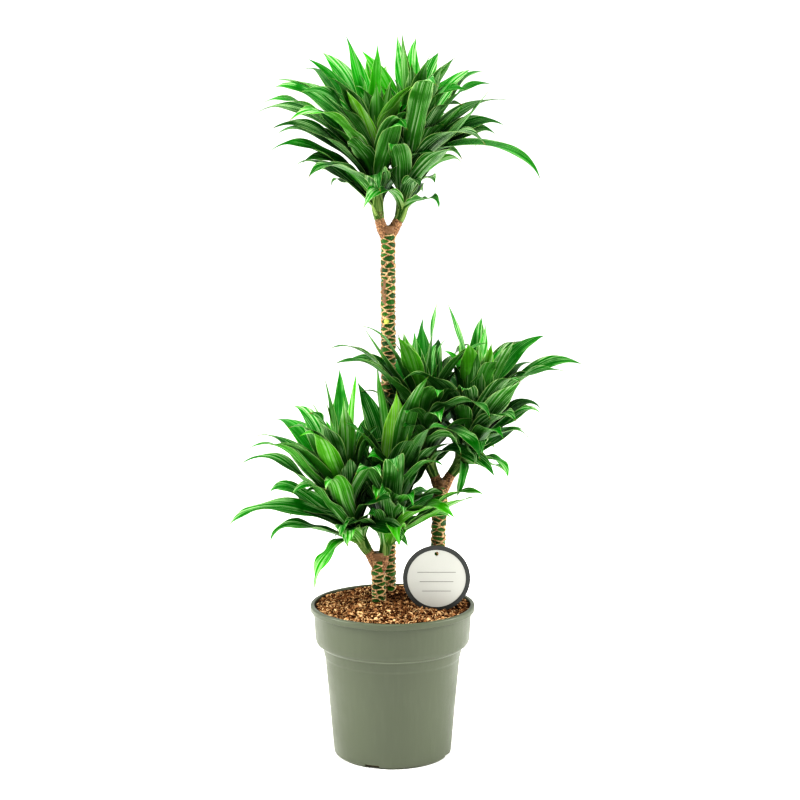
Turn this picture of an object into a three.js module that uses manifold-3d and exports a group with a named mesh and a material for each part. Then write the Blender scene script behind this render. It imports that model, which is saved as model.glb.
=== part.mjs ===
// A potted corn plant: three cut canes of different heights in one nursery pot, two leafy shoots on each.
// Units are millimetres. +Z is up, -Y faces the viewer, and the origin is the centre of the pot's base.

import Module from 'manifold-3d';
import * as THREE from 'three';
import { mergeVertices } from 'three/addons/utils/BufferGeometryUtils.js';

const wasm = await Module();
wasm.setup();

const DEGREE = Math.PI / 180;
const UP = new THREE.Vector3(0, 0, 1);
const MERGE_DISTANCE = 1e-4;
const CLEARANCE = 0.3;

// ---- Driving dimensions ----

const POT = {
  height: 194,
  wall: 2,
  floor: 2.5,
  baseRadius: 74.7,
  baseEdge: 3,
  baseRounding: 0.9,
  ledge: { bottom: 124, top: 127, lowerRadius: 85.3, upperRadius: 87.2 },
  step: { height: 140, underRadius: 88.7, bandRadius: 97.2, rounding: 10 },
  bandTopRadius: 100,
  rim: { outerRadius: 104, height: 8, lip: 2.5, undercut: 1, slope: 0.6, lowerRounding: 3, innerLean: 0.8 },
  segments: 32,
};

const SLOT = { count: 4, firstTurn: -110, width: 19, height: 4.5, depth: 12 };

const SOIL = {
  edgeHeight: 186, mound: 13, moundRadius: 84, roughness: 1.1, lumpLength: 4.8, rimGap: 0.1,
  ringRadii: [88, 72, 54, 36, 18], segments: 16,
};

const CANE_SIDES = 10;
const CANE_RING_STEP = 24;
const CANE_SWELL = 0.25;
const CANE_WAIST = 0.2;
const CANES = [
  { name: 'tall_cane', foot: [-5.5, 48, 70], head: [-5.5, 48, 668], radius: 9.2 },
  { name: 'middle_cane', foot: [50, 12, 80], head: [62, 12, 352], radius: 9.2 },
  { name: 'short_cane', foot: [-15, -8, 80], head: [-16, -8, 262], radius: 9.8 },
];

const LABEL = {
  x: 55, y: -34, centreHeight: 234.5, radius: 42, rimWidth: 5.5,
  thickness: 1.2, rimThickness: 2, holeRadius: 2.6, holeInset: 10.5,
  stakeWidth: 13, stakeLength: 62, stakePoint: 14, stakeOverlap: 3, pocketHeadroom: 20, curveSegments: 12,
};

// Each shoot follows a route from inside its cane to its growing tip. Leaves start at leafHeight, and
// lift is how many degrees its lowest leaves stand above the usual droop.
const SHOOTS = [
  {
    name: 'tall_left', cane: 'tall_cane', leafHeight: 690, phase: 20, lift: 24, frontDroop: 34,
    route: [[-6, 48, 650], [-14, 46, 668], [-18, 45, 688], [-20, 44, 720], [-19, 43, 764]],
  },
  {
    name: 'tall_right', cane: 'tall_cane', leafHeight: 686, phase: 75, lift: 30, frontDroop: 12,
    route: [[-5, 49, 652], [4, 51, 668], [11, 53, 684], [15, 55, 715], [20, 56, 768]],
  },
  {
    name: 'middle_left', cane: 'middle_cane', leafHeight: 368, phase: 110, lift: 18, frontDroop: 36,
    route: [[61, 12, 334], [54, 12, 353], [47, 12, 372], [43, 14, 400], [41, 16, 440]],
  },
  {
    name: 'middle_right', cane: 'middle_cane', leafHeight: 371, phase: 160, lift: 26, frontDroop: 30,
    route: [[62, 12, 334], [71, 12, 353], [83, 12, 371], [94, 14, 400], [101, 16, 440]],
  },
  {
    name: 'short_left', cane: 'short_cane', leafHeight: 274, phase: 45, lift: 0, frontDroop: 34,
    route: [[-16, -8, 238], [-27, -9, 258], [-38, -11, 276], [-48, -14, 302], [-55, -16, 342]],
  },
  {
    name: 'short_right', cane: 'short_cane', leafHeight: 268, phase: 5, lift: 6, frontDroop: 38,
    route: [[-15, -8, 240], [-10, -7, 262], [-6, -6, 282], [-3, -5, 306], [0, -5, 350]],
  },
];

const SHOOT_SIDES = 8;
const SHOOT_BASE_RADIUS = 6.2;
const SHOOT_TIP_RADIUS = 2.2;
const BARE_STATIONS = [0, 0.35, 0.7];
const LAST_TIER_END = 0.985;
const SHEATH_WALL = 1.4;
const SHEATH_GAP = 0.5;
const STEM_MARGIN = 1;
const SLEEVE_MARGIN = 0.1;

// Tiers from the lowest, drooping leaves to the upright young ones. Angles are above the horizontal.
const TIERS = [
  { leaves: 3, rise: 52, chord: -16, length: 118, halfWidth: 13.5, hook: 0.9 },
  { leaves: 4, rise: 60, chord: 4, length: 134, halfWidth: 15, hook: 0.9 },
  { leaves: 4, rise: 66, chord: 20, length: 148, halfWidth: 16, hook: 0.8 },
  { leaves: 4, rise: 71, chord: 34, length: 152, halfWidth: 16.5, hook: 0.75 },
  { leaves: 4, rise: 75, chord: 46, length: 150, halfWidth: 16.5, hook: 0.65 },
  { leaves: 4, rise: 79, chord: 58, length: 145, halfWidth: 16, hook: 0.5 },
  { leaves: 3, rise: 82, chord: 69, length: 136, halfWidth: 14.5, hook: 0.35 },
  { leaves: 3, rise: 86, chord: 79, length: 118, halfWidth: 12, hook: 0.2 },
];

// Leaf tips that show in the photograph, as [tier, x, y, z, extra arch] for each shoot.
const SEEN_TIPS = {
  tall_left: [
    [7, -54, 15, 832], [7, -3, 25, 846], [7, -18, 62, 892],
    [6, 28, 5, 841], [6, -33, 90, 878], [6, -8, 78, 868],
    [5, -59, 70, 900], [5, -90, 75, 884], [5, -105, 40, 874], [5, -75, 10, 850],
    [4, -145, 60, 847], [4, -151, 110, 839], [4, -110, -5, 832], [4, -118, 95, 862],
    [3, -162, 20, 818], [3, -175, 60, 805], [3, -120, -50, 798],
    [2, -148, 0, 788], [2, -147, 90, 780], [2, 19, -70, 788],
    [1, -151, 30, 761], [1, -101, -50, 730], [1, -13, -75, 714],
    [0, -123, 70, 741], [0, -92, 100, 730],
  ],
  tall_right: [
    [7, 12, 50, 906], [7, 6, 80, 906], [7, 24, 20, 868],
    [6, 30, 85, 904], [6, -40, 100, 886], [6, 48, 50, 880],
    [5, 60, 110, 885], [5, 78, 60, 875], [5, 69, 20, 866], [5, 100, 110, 862],
    [4, 122, 90, 860], [4, 123, 30, 842], [4, 90, -15, 834], [4, 150, 100, 822],
    [3, 142, 90, 791], [3, 85, -40, 817], [3, 52, -60, 838], [3, 179, 40, 727, 0.9],
    [2, 131, 20, 780], [2, 110, -60, 770],
  ],
  middle_left: [
    [7, 27, 30, 537], [7, 56, 20, 577],
    [6, 6, 5, 540], [6, 40, 70, 548],
    [5, -39, -5, 549],
    [4, -79, -15, 521], [4, -70, -40, 511],
    [3, 16, -70, 446], [3, -55, 50, 500],
    [1, 36, -90, 395],
  ],
  middle_right: [
    [7, 68, 10, 576], [7, 107, 0, 536], [7, 119, 5, 544],
    [6, 121, 30, 570], [6, 115, 60, 546],
    [5, 193, 40, 530], [5, 84, -80, 476], [5, 128, -60, 510], [5, 150, 20, 540],
    [4, 238, 10, 497], [4, 212, -30, 496], [4, 170, 70, 515],
    [3, 184, 60, 489], [3, 156, -70, 486],
    [2, 187, 20, 438], [2, 150, -60, 440],
    [1, 135, -80, 418], [1, 110, -100, 397],
    [0, 142, -50, 364, 0.4],
  ],
  short_left: [
    [7, -44, 0, 491], [7, -58, -30, 470],
    [6, -85, -30, 487], [6, -69, 30, 481],
    [5, -137, -10, 464], [5, -100, -60, 455],
    [4, -125, -40, 438], [4, -128, 50, 437], [4, -110, -80, 430],
    [3, -181, 30, 398], [3, -159, 60, 410], [3, -150, -60, 410],
    [2, -186, -10, 383], [2, -178, -60, 404], [2, -80, -120, 364, 0.3],
    [1, -204, -30, 300, 0.3], [1, -158, 20, 327], [1, -123, -90, 351],
    [0, -151, -50, 283, 0.5], [0, -94, -95, 233, 0.6], [0, -54, -110, 293, 0.3],
  ],
  short_right: [
    [7, 6, -35, 474], [7, -19, 0, 497],
    [6, 44, -40, 497],
    [5, 25, -105, 420], [5, -45, 40, 470],
    [4, 69, -70, 439], [4, -30, -115, 402],
    [3, 62, -105, 390], [3, -45, -112, 380],
    [2, 8, -110, 399], [2, 26, -110, 340],
    [1, -19, -115, 351], [1, 76, -100, 324], [1, -52, -120, 363],
    [0, 10, -110, 293, 0.3], [0, 116, -40, 340],
  ],
};

const FIRST_YOUNG_TIER = 6;
const LEAF_STATIONS = [0, 0.17, 0.4, 0.64, 0.88];
const LEAF_THICKNESS = 1.7;
const LEAF_THINNING = 0.4;
const LEAF_MARGIN = 1;
const LEAF_BASE_MARGIN = 0.2;
const LEAF_FOLD = { base: 0.37, tip: 0.14 };
const LEAF_BASE_SHARE = 0.65;
const LEAF_SUNK = 0.3;
const LEAF_HEIGHT_IN_TIER = 0.4;

// Width along a leaf: where it is widest, how its base swells, and how its point is drawn out.
const OUTLINE = { widest: 0.47, baseCurve: 1.2, tipCurve: 1.35, tipFullness: 1.1 };

// A leaf rises steeply from its foot, at least so many degrees above the straight line to its tip.
const ARCH = { steepest: 88, aboveChord: 18, footReach: 0.4, tipReach: 0.33 };

// Places tried for a leaf whose tip is seen, and for one that is hidden, until one is free.
const SEEN_TRIES = {
  rise: [0, 5, -6, -12, -18],
  depth: [0, 12, -12, 24, -24, 36, -36, 50, -50, 65, -65, 80, -80],
};
const SPIRAL_TRIES = {
  turn: [0, 9, -9, 18, -18, 28, -28, 38, -38, 50, -50],
  lift: [0, 8, -8, 16, -16, 24, 32],
  reach: [1, 0.85, 0.7, 0.55],
};
const SEEN_TWIST = { outward: 30, jitter: 22 };
const ARCH_RISE = 12;
const SPIRAL = {
  turn: 137.5, twistJitter: 35, lengthJitter: 0.1, tiltJitter: 6, steepest: 84, bowShare: 0.4,
};

const RANDOM_FACTOR = 16807;
const RANDOM_MODULUS = 2147483647;
let randomState = 20417;

// ---- Colours ----

const COLOURS = {
  pot: { color: 0x75806c, roughness: 0.45, metalness: 0 },
  soil: { color: 0x6e4a35, roughness: 0.95, metalness: 0 },
  bark: { color: 0x6f6a3c, roughness: 0.6, metalness: 0 },
  shoot: { color: 0x8a6a48, roughness: 0.7, metalness: 0 },
  leaf: { color: 0x1f7a2a, roughness: 0.4, metalness: 0 },
  youngLeaf: { color: 0x4fb52a, roughness: 0.4, metalness: 0 },
  label: { color: 0xf1efe9, roughness: 0.5, metalness: 0 },
};

// ---- Solids ----

function toSolid(geometry) {
  const bare = geometry.clone();
  bare.deleteAttribute('normal');
  bare.deleteAttribute('uv');
  const merged = mergeVertices(bare, MERGE_DISTANCE);
  return new wasm.Manifold(new wasm.Mesh({
    numProp: 3,
    vertProperties: new Float32Array(merged.attributes.position.array),
    triVerts: new Uint32Array(merged.index.array),
  }));
}

function toGeometry(solid) {
  const { vertProperties, triVerts } = solid.getMesh();
  const geometry = new THREE.BufferGeometry();
  geometry.setAttribute('position', new THREE.BufferAttribute(new Float32Array(vertProperties), 3));
  geometry.setIndex(new THREE.BufferAttribute(new Uint32Array(triVerts), 1));
  geometry.computeVertexNormals();
  return geometry;
}

function enclosedVolume(points, faces) {
  let sum = 0;
  for (const [a, b, c] of faces) {
    sum += points[a].dot(new THREE.Vector3().crossVectors(points[b], points[c]));
  }
  return sum / 6;
}

// Makes a geometry of faces that all turn the same way, and turns them outward.
function meshFrom(points, faces) {
  const outward = enclosedVolume(points, faces) > 0;
  const geometry = new THREE.BufferGeometry().setFromPoints(points);
  geometry.setIndex(faces.flatMap(([a, b, c]) => (outward ? [a, b, c] : [a, c, b])));
  return geometry;
}

// Joins rings of points into one closed solid. A ring of a single point closes that end in a tip.
// Folded rings have sharp edges at their even corners, and both walls of an edge are split the same
// way there, so that thin walls can't pass through each other.
function loft(rings, folded = false) {
  const points = [];
  const faces = [];
  const starts = [];
  for (const ring of rings) {
    starts.push(points.length);
    points.push(...ring);
  }
  for (let i = 0; i + 1 < rings.length; i += 1) {
    const sides = Math.max(rings[i].length, rings[i + 1].length);
    for (let k = 0; k < sides; k += 1) {
      const next = (k + 1) % sides;
      const [a, b] = rings[i].length === 1 ? [starts[i], starts[i]] : [starts[i] + k, starts[i] + next];
      const [c, d] = rings[i + 1].length === 1
        ? [starts[i + 1], starts[i + 1]]
        : [starts[i + 1] + k, starts[i + 1] + next];
      const mirrored = folded && k % 2 === 1;
      if (a !== b) {
        faces.push(mirrored ? [a, b, d] : [a, b, c]);
      }
      if (c !== d) {
        faces.push(mirrored ? [a, d, c] : [b, d, c]);
      }
    }
  }
  closeEnd(rings[0], starts[0], faces, false);
  closeEnd(rings.at(-1), starts.at(-1), faces, true);
  return meshFrom(points, faces);
}

// Joins rings of points into one closed solid whose last ring meets its first.
function loftLoop(rings) {
  const sides = rings[0].length;
  const points = rings.flat();
  const faces = [];
  for (let i = 0; i < rings.length; i += 1) {
    const here = i * sides;
    const there = ((i + 1) % rings.length) * sides;
    for (let k = 0; k < sides; k += 1) {
      const next = (k + 1) % sides;
      faces.push([here + k, here + next, there + k], [here + next, there + next, there + k]);
    }
  }
  return meshFrom(points, faces);
}

function closeEnd(ring, start, faces, last) {
  for (let k = 1; k + 1 < ring.length; k += 1) {
    faces.push(last ? [start, start + k, start + k + 1] : [start, start + k + 1, start + k]);
  }
}

function circle(centre, axis, radius, sides) {
  const across = new THREE.Vector3(1, 0, 0).addScaledVector(axis, -axis.x).normalize();
  const away = new THREE.Vector3().crossVectors(axis, across);
  return Array.from({ length: sides }, (_, k) => {
    const angle = (k / sides) * 2 * Math.PI;
    return centre.clone()
      .addScaledVector(across, radius * Math.cos(angle))
      .addScaledVector(away, radius * Math.sin(angle));
  });
}

// ---- Pot and soil ----

function potOutline(inset) {
  const { step, ledge, rim } = POT;
  const outline = new THREE.Path();
  outline.moveTo(POT.baseRadius - inset, inset > 0 ? POT.floor : POT.baseEdge);
  outline.lineTo(ledge.lowerRadius - inset, ledge.bottom);
  outline.lineTo(ledge.upperRadius - inset, ledge.top);
  outline.lineTo(step.underRadius - inset, step.height + inset);
  outline.quadraticCurveTo(
    step.bandRadius - inset, step.height + inset,
    step.bandRadius - inset, step.height + step.rounding,
  );
  outline.lineTo(POT.bandTopRadius - inset, POT.height - rim.height);
  return outline.getPoints(3);
}

// The outer edge of the rim, from the top of the band up and over to the inside.
function rimOutline() {
  const { rim } = POT;
  const bottom = POT.height - rim.height;
  const bead = new THREE.Path();
  bead.moveTo(POT.bandTopRadius, bottom);
  bead.lineTo(rim.outerRadius - rim.undercut, bottom + rim.slope);
  bead.quadraticCurveTo(
    rim.outerRadius, bottom + rim.undercut,
    rim.outerRadius, bottom + rim.lowerRounding,
  );
  bead.lineTo(rim.outerRadius, POT.height - rim.lip);
  bead.quadraticCurveTo(rim.outerRadius, POT.height, rim.outerRadius - rim.lip, POT.height);
  bead.lineTo(POT.bandTopRadius - POT.wall + rim.innerLean, POT.height);
  return bead.getPoints(2);
}

function buildPot() {
  const profile = [
    new THREE.Vector2(0, 0),
    new THREE.Vector2(POT.baseRadius - POT.baseEdge, 0),
    new THREE.Vector2(POT.baseRadius - POT.baseRounding, POT.baseRounding),
    ...potOutline(0),
    ...rimOutline().slice(1),
    ...potOutline(POT.wall).reverse(),
    new THREE.Vector2(0, POT.floor),
  ];
  const body = new THREE.LatheGeometry(profile, POT.segments).rotateX(90 * DEGREE);
  return wasm.Manifold.difference([toSolid(body), ...drainageSlots()]);
}

function drainageSlots() {
  return Array.from({ length: SLOT.count }, (_, k) => {
    const slot = new THREE.BoxGeometry(SLOT.depth, SLOT.width, 2 * SLOT.height);
    slot.translate(POT.baseRadius, 0, 0);
    slot.rotateZ((SLOT.firstTurn + (k * 360) / SLOT.count) * DEGREE);
    return toSolid(slot);
  });
}

function soilHeight(x, y) {
  const spread = Math.min(1, Math.hypot(x, y) / SOIL.moundRadius);
  const mound = SOIL.mound * (1 - spread * spread);
  const lumps = Math.sin(x / SOIL.lumpLength) * Math.cos(y / SOIL.lumpLength);
  return SOIL.edgeHeight + mound + SOIL.roughness * lumps * (1 - spread);
}

function buildSoil(pushedIn) {
  const inset = POT.wall + CLEARANCE;
  const wall = potOutline(inset).filter((point) => point.y < SOIL.edgeHeight);
  const rings = wall.map((point) => ({ radius: point.x, height: Math.max(point.y, POT.floor + CLEARANCE) }));
  const edgeRadius = POT.bandTopRadius - inset - SOIL.rimGap;
  rings.push({ radius: edgeRadius, height: SOIL.edgeHeight });
  const lofted = rings.map(({ radius, height }) => (
    circle(new THREE.Vector3(0, 0, height), UP, radius, SOIL.segments)
  ));
  for (const radius of SOIL.ringRadii) {
    const ring = circle(new THREE.Vector3(), UP, radius, SOIL.segments);
    ring.forEach((point) => point.setZ(soilHeight(point.x, point.y)));
    lofted.push(ring);
  }
  lofted.push([new THREE.Vector3(0, 0, soilHeight(0, 0))]);
  return wasm.Manifold.difference([toSolid(loft(lofted)), ...pushedIn]);
}

// ---- Canes and shoots ----

function caneAxis(cane) {
  return new THREE.LineCurve3(new THREE.Vector3(...cane.foot), new THREE.Vector3(...cane.head));
}

function buildCane(cane, grow = 0) {
  const axis = caneAxis(cane);
  const direction = axis.getTangent(0);
  const count = Math.round(axis.getLength() / CANE_RING_STEP);
  const rings = Array.from({ length: count + 1 }, (_, k) => {
    const swell = k % 2 === 0 ? CANE_SWELL : -CANE_WAIST;
    return circle(axis.getPoint(k / count), direction, cane.radius + swell + grow, CANE_SIDES);
  });
  return toSolid(loft(rings));
}

// The hole in the soil that a cane stands in.
function canePocket(cane) {
  const axis = caneAxis(cane);
  const direction = axis.getTangent(0);
  const bottom = axis.getPoint(0).addScaledVector(direction, -CLEARANCE);
  const ends = [bottom, axis.getPoint(1)];
  return toSolid(loft(ends.map((end) => circle(end, direction, cane.radius + 2 * CLEARANCE, CANE_SIDES))));
}

function shootCurve(shoot) {
  return new THREE.CatmullRomCurve3(shoot.route.map((point) => new THREE.Vector3(...point)));
}

// Where along the curve, from 0 to 1, the shoot reaches a height.
function alongAtHeight(curve, height) {
  let low = 0;
  let high = 1;
  while (high - low > MERGE_DISTANCE / 100) {
    const middle = (low + high) / 2;
    if (curve.getPointAt(middle).z < height) {
      low = middle;
    } else {
      high = middle;
    }
  }
  return low;
}

function shootRadius(shoot, along) {
  const taper = Math.max(0, (along - shoot.leafStart) / (1 - shoot.leafStart));
  return THREE.MathUtils.lerp(SHOOT_BASE_RADIUS, SHOOT_TIP_RADIUS, taper);
}

function shootRing(shoot, along, grow) {
  const centre = shoot.curve.getPointAt(along);
  return circle(centre, shoot.curve.getTangentAt(along), shootRadius(shoot, along) + grow, SHOOT_SIDES);
}

function shootTube(shoot, stations, grow) {
  return toSolid(loft(stations.map((along) => shootRing(shoot, along, grow))));
}

// ---- Leaves ----

// An even random value between -range and range, the same on every run.
function jitter(range) {
  randomState = (randomState * RANDOM_FACTOR) % RANDOM_MODULUS;
  return ((randomState / RANDOM_MODULUS) * 2 - 1) * range;
}

// Width along a leaf, as a share of its widest: a clasping base, a broad middle and a drawn-out point.
function leafOutline(along, baseShare) {
  const { widest } = OUTLINE;
  if (along < widest) {
    return baseShare + (1 - baseShare) * Math.sin((along / widest) * 90 * DEGREE) ** OUTLINE.baseCurve;
  }
  const past = (along - widest) / (1 - widest);
  return (1 - past) ** OUTLINE.tipCurve * (1 + OUTLINE.tipFullness * past);
}

function leafCurve(foot, axis, tip, leaf) {
  const chord = tip.clone().sub(foot);
  const reach = chord.length();
  const heading = chord.clone().addScaledVector(axis, -chord.dot(axis)).normalize();
  const chordAngle = Math.asin(chord.dot(axis) / reach);
  const steeper = Math.max(leaf.rise, chordAngle / DEGREE + ARCH.aboveChord);
  const rise = Math.min(ARCH.steepest, steeper) * DEGREE;
  const start = heading.clone().multiplyScalar(Math.cos(rise)).addScaledVector(axis, Math.sin(rise));
  const end = chord.clone().divideScalar(reach).addScaledVector(UP, -leaf.hook).normalize();
  const curve = new THREE.CubicBezierCurve3(
    foot,
    foot.clone().addScaledVector(start, reach * ARCH.footReach),
    tip.clone().addScaledVector(end, -reach * ARCH.tipReach),
    tip,
  );
  return { curve, side: new THREE.Vector3().crossVectors(heading, axis).normalize() };
}

// Four points round a leaf: its left edge, upper midrib, right edge and lower midrib.
function leafRing(leaf, along, pad) {
  const centre = leaf.curve.getPoint(along);
  const forward = leaf.curve.getTangent(along);
  const side = leaf.side.clone().addScaledVector(forward, -leaf.side.dot(forward)).normalize();
  side.applyAxisAngle(forward, leaf.twist * DEGREE * along);
  const upper = new THREE.Vector3().crossVectors(side, forward);
  const width = leaf.halfWidth * leafOutline(along, leaf.baseWidth / leaf.halfWidth);
  const fold = width * THREE.MathUtils.lerp(LEAF_FOLD.base, LEAF_FOLD.tip, along);
  const margin = pad * THREE.MathUtils.lerp(LEAF_BASE_MARGIN, 1, along);
  const half = (LEAF_THICKNESS * (1 - LEAF_THINNING * along)) / 2 + margin;
  const corner = (sideways, lift) => (
    centre.clone().addScaledVector(side, sideways).addScaledVector(upper, lift)
  );
  return [corner(-width - margin, fold), corner(0, half), corner(width + margin, fold), corner(0, -half)];
}

function leafSolid(leaf, pad = 0, from = 0) {
  const rings = LEAF_STATIONS.filter((along) => along >= from).map((along) => leafRing(leaf, along, pad));
  rings.push([leaf.curve.getPoint(1)]);
  return toSolid(loft(rings, true));
}

function boundsOf(leaf) {
  return LEAF_STATIONS.map((along, k) => {
    const next = LEAF_STATIONS[k + 1] ?? 1;
    const box = new THREE.Box3().setFromPoints(leafRing(leaf, along, LEAF_MARGIN));
    return box.union(new THREE.Box3().setFromPoints(leafRing(leaf, next, LEAF_MARGIN)));
  });
}

function growLeaf(shoot, tier, tip, options = {}) {
  const kind = TIERS[tier];
  const along = shoot.tierStarts[tier] + LEAF_HEIGHT_IN_TIER * shoot.pitch;
  const axis = shoot.curve.getTangentAt(along);
  const centre = shoot.curve.getPointAt(along);
  const sheath = shootRadius(shoot, along) + CLEARANCE + SHEATH_WALL - LEAF_SUNK;
  const chord = tip.clone().sub(centre);
  const heading = chord.addScaledVector(axis, -chord.dot(axis)).normalize();
  const foot = centre.addScaledVector(heading, sheath);
  const leaf = { ...kind, shoot, tier, twist: 0, ...options };
  Object.assign(leaf, leafCurve(foot, axis, tip, leaf), { baseWidth: sheath * LEAF_BASE_SHARE });
  leaf.boxes = boundsOf(leaf);
  return leaf;
}

function leavesMeet(a, b) {
  if (!a.boxes.some((box) => b.boxes.some((other) => box.intersectsBox(other)))) {
    return false;
  }
  const sameTier = a.shoot === b.shoot && a.tier === b.tier;
  const from = sameTier ? LEAF_STATIONS[1] : 0;
  const first = leafSolid(a, LEAF_MARGIN, from);
  const second = leafSolid(b, 0, from);
  const shared = first.intersect(second);
  const meets = !shared.isEmpty();
  [first, second, shared].forEach((solid) => solid.delete());
  return meets;
}

// A leaf keeps clear of the canes, of the other shoots and of its own shoot above its tier.
function obstaclesOf(leaf, stems) {
  return stems.filter(({ shoot, tier }) => (
    shoot === leaf.shoot ? tier === leaf.tier + 1 : tier === undefined
  ));
}

function hitsStem(leaf, stems) {
  const solid = leafSolid(leaf, LEAF_MARGIN);
  const hit = obstaclesOf(leaf, stems).some((stem) => {
    const shared = solid.intersect(stem.solid);
    const meets = !shared.isEmpty();
    shared.delete();
    return meets;
  });
  solid.delete();
  return hit;
}

function firstFree(candidates, placed, stems) {
  for (const leaf of candidates) {
    if (!placed.some((other) => leavesMeet(leaf, other)) && !hitsStem(leaf, stems)) {
      return leaf;
    }
  }
  return null;
}

// A leaf seen in the photograph keeps its tip in view and only moves nearer or farther.
function* seenCandidates(shoot, tier, [x, y, z, arch = 0]) {
  const outward = Math.sign(x - shoot.curve.getPointAt(shoot.leafStart).x);
  const twist = outward * SEEN_TWIST.outward + jitter(SEEN_TWIST.jitter);
  const hook = TIERS[tier].hook + arch;
  for (const lift of SEEN_TRIES.rise) {
    const rise = TIERS[tier].rise + lift + ARCH_RISE * arch;
    for (const depth of SEEN_TRIES.depth) {
      yield growLeaf(shoot, tier, new THREE.Vector3(x, y + depth, z), { twist, hook, rise });
    }
  }
}

// A leaf that the photograph hides takes the first free place near its turn in the spiral.
function* spiralCandidates(shoot, tier, turn) {
  const kind = TIERS[tier];
  const twist = jitter(SPIRAL.twistJitter);
  const length = kind.length * (1 + jitter(SPIRAL.lengthJitter));
  const towardViewer = Math.max(0, -Math.sin(turn * DEGREE)) ** 2;
  const bow = shoot.frontDroop * towardViewer;
  const tilt = kind.chord + shoot.lift * (1 - tier / TIERS.length) - bow + jitter(SPIRAL.tiltJitter);
  const along = shoot.tierStarts[tier];
  const centre = shoot.curve.getPointAt(along);
  for (const reach of SPIRAL_TRIES.reach) {
    for (const lift of SPIRAL_TRIES.lift) {
      for (const swing of SPIRAL_TRIES.turn) {
        const angle = (turn + swing) * DEGREE;
        const elevation = Math.min(SPIRAL.steepest, tilt + lift) * DEGREE;
        const level = Math.cos(elevation) * length * reach;
        const tip = centre.clone().add(new THREE.Vector3(
          Math.cos(angle) * level,
          Math.sin(angle) * level,
          Math.sin(elevation) * length * reach,
        ));
        const rise = kind.rise + Math.max(0, lift) - SPIRAL.bowShare * bow;
        yield growLeaf(shoot, tier, tip, { twist, rise });
      }
    }
  }
}

function angleBetween(a, b) {
  return Math.abs(((((a - b) % 360) + 540) % 360) - 180);
}

// Turns of a tier's leaves that no leaf from the photograph takes up.
function openTurns(shoot, tier, seen) {
  const count = TIERS[tier].leaves;
  const turns = Array.from({ length: count }, (_, k) => shoot.phase + tier * SPIRAL.turn + (k * 360) / count);
  const centre = shoot.curve.getPointAt(shoot.tierStarts[tier]);
  for (const tip of seen) {
    const turn = Math.atan2(tip[1] - centre.y, tip[0] - centre.x) / DEGREE;
    turns.sort((a, b) => angleBetween(a, turn) - angleBetween(b, turn));
    turns.shift();
  }
  return turns;
}

function arrangeLeaves(shoots, stems) {
  const placed = [];
  const settle = (candidates) => {
    const leaf = firstFree(candidates, placed, stems);
    if (leaf) {
      placed.push(leaf);
    }
  };
  const tierNumbers = TIERS.map((_, tier) => tier).reverse();
  const seenTips = (shoot, tier) => (
    SEEN_TIPS[shoot.name].filter(([level]) => level === tier).map(([, ...tip]) => tip)
  );
  for (const tier of tierNumbers) {
    for (const shoot of shoots) {
      seenTips(shoot, tier).forEach((tip) => settle(seenCandidates(shoot, tier, tip)));
    }
  }
  for (const tier of tierNumbers) {
    for (const shoot of shoots) {
      const turns = openTurns(shoot, tier, seenTips(shoot, tier));
      turns.forEach((turn) => settle(spiralCandidates(shoot, tier, turn)));
    }
  }
  return placed;
}

// A ring of wall round the shoot, which the clasping bases of one tier's leaves grow out of.
function buildSheath(shoot, from, to) {
  const outer = CLEARANCE + SHEATH_WALL;
  const corners = [[from, outer], [to, outer], [to, CLEARANCE], [from, CLEARANCE]];
  return toSolid(loftLoop(corners.map(([along, grow]) => shootRing(shoot, along, grow))));
}

function buildTier(shoot, tier, leaves) {
  const from = shoot.tierStarts[tier];
  const sheath = buildSheath(shoot, from, from + shoot.pitch - SHEATH_GAP / shoot.length);
  const whorl = wasm.Manifold.union([sheath, ...leaves.map((leaf) => leafSolid(leaf))]);
  return outerSkin(whorl);
}

// Two clasping bases can shut in a pocket between them. The outer skin alone fills it.
function outerSkin(solid) {
  return solid.decompose().reduce((best, skin) => (skin.volume() > best.volume() ? skin : best));
}

// ---- Label ----

function buildLabel() {
  const face = new THREE.Shape();
  face.absarc(0, 0, LABEL.radius, 0, 2 * Math.PI);
  const hole = new THREE.Path();
  hole.absarc(0, LABEL.radius - LABEL.holeInset, LABEL.holeRadius, 0, 2 * Math.PI);
  face.holes.push(hole);
  const rim = new THREE.Shape();
  rim.absarc(0, 0, LABEL.radius, 0, 2 * Math.PI);
  const opening = new THREE.Path();
  opening.absarc(0, 0, LABEL.radius - LABEL.rimWidth, 0, 2 * Math.PI);
  rim.holes.push(opening);
  const half = LABEL.stakeWidth / 2;
  const shoulder = -LABEL.radius - LABEL.stakeLength + LABEL.stakePoint;
  const stake = new THREE.Shape([
    new THREE.Vector2(-half, -LABEL.radius + LABEL.stakeOverlap),
    new THREE.Vector2(-half, shoulder),
    new THREE.Vector2(0, shoulder - LABEL.stakePoint),
    new THREE.Vector2(half, shoulder),
    new THREE.Vector2(half, -LABEL.radius + LABEL.stakeOverlap),
  ]);
  const plate = (shape, depth) => {
    const { curveSegments } = LABEL;
    const slab = new THREE.ExtrudeGeometry(shape, { depth, bevelEnabled: false, curveSegments });
    return toSolid(slab.translate(0, 0, -depth / 2));
  };
  return wasm.Manifold.union([
    plate(face, LABEL.thickness),
    plate(rim, LABEL.rimThickness),
    plate(stake, LABEL.thickness),
  ]);
}

// The slit in the soil that the label's stake stands in.
function stakePocket() {
  const height = LABEL.stakeLength + LABEL.pocketHeadroom;
  const pocket = new THREE.BoxGeometry(
    LABEL.stakeWidth + 2 * CLEARANCE,
    LABEL.rimThickness + 2 * CLEARANCE,
    height,
  );
  const bottom = LABEL.centreHeight - LABEL.radius - LABEL.stakeLength - CLEARANCE;
  pocket.translate(LABEL.x, LABEL.y, bottom + height / 2);
  return toSolid(pocket);
}

// ---- The plant ----

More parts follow.
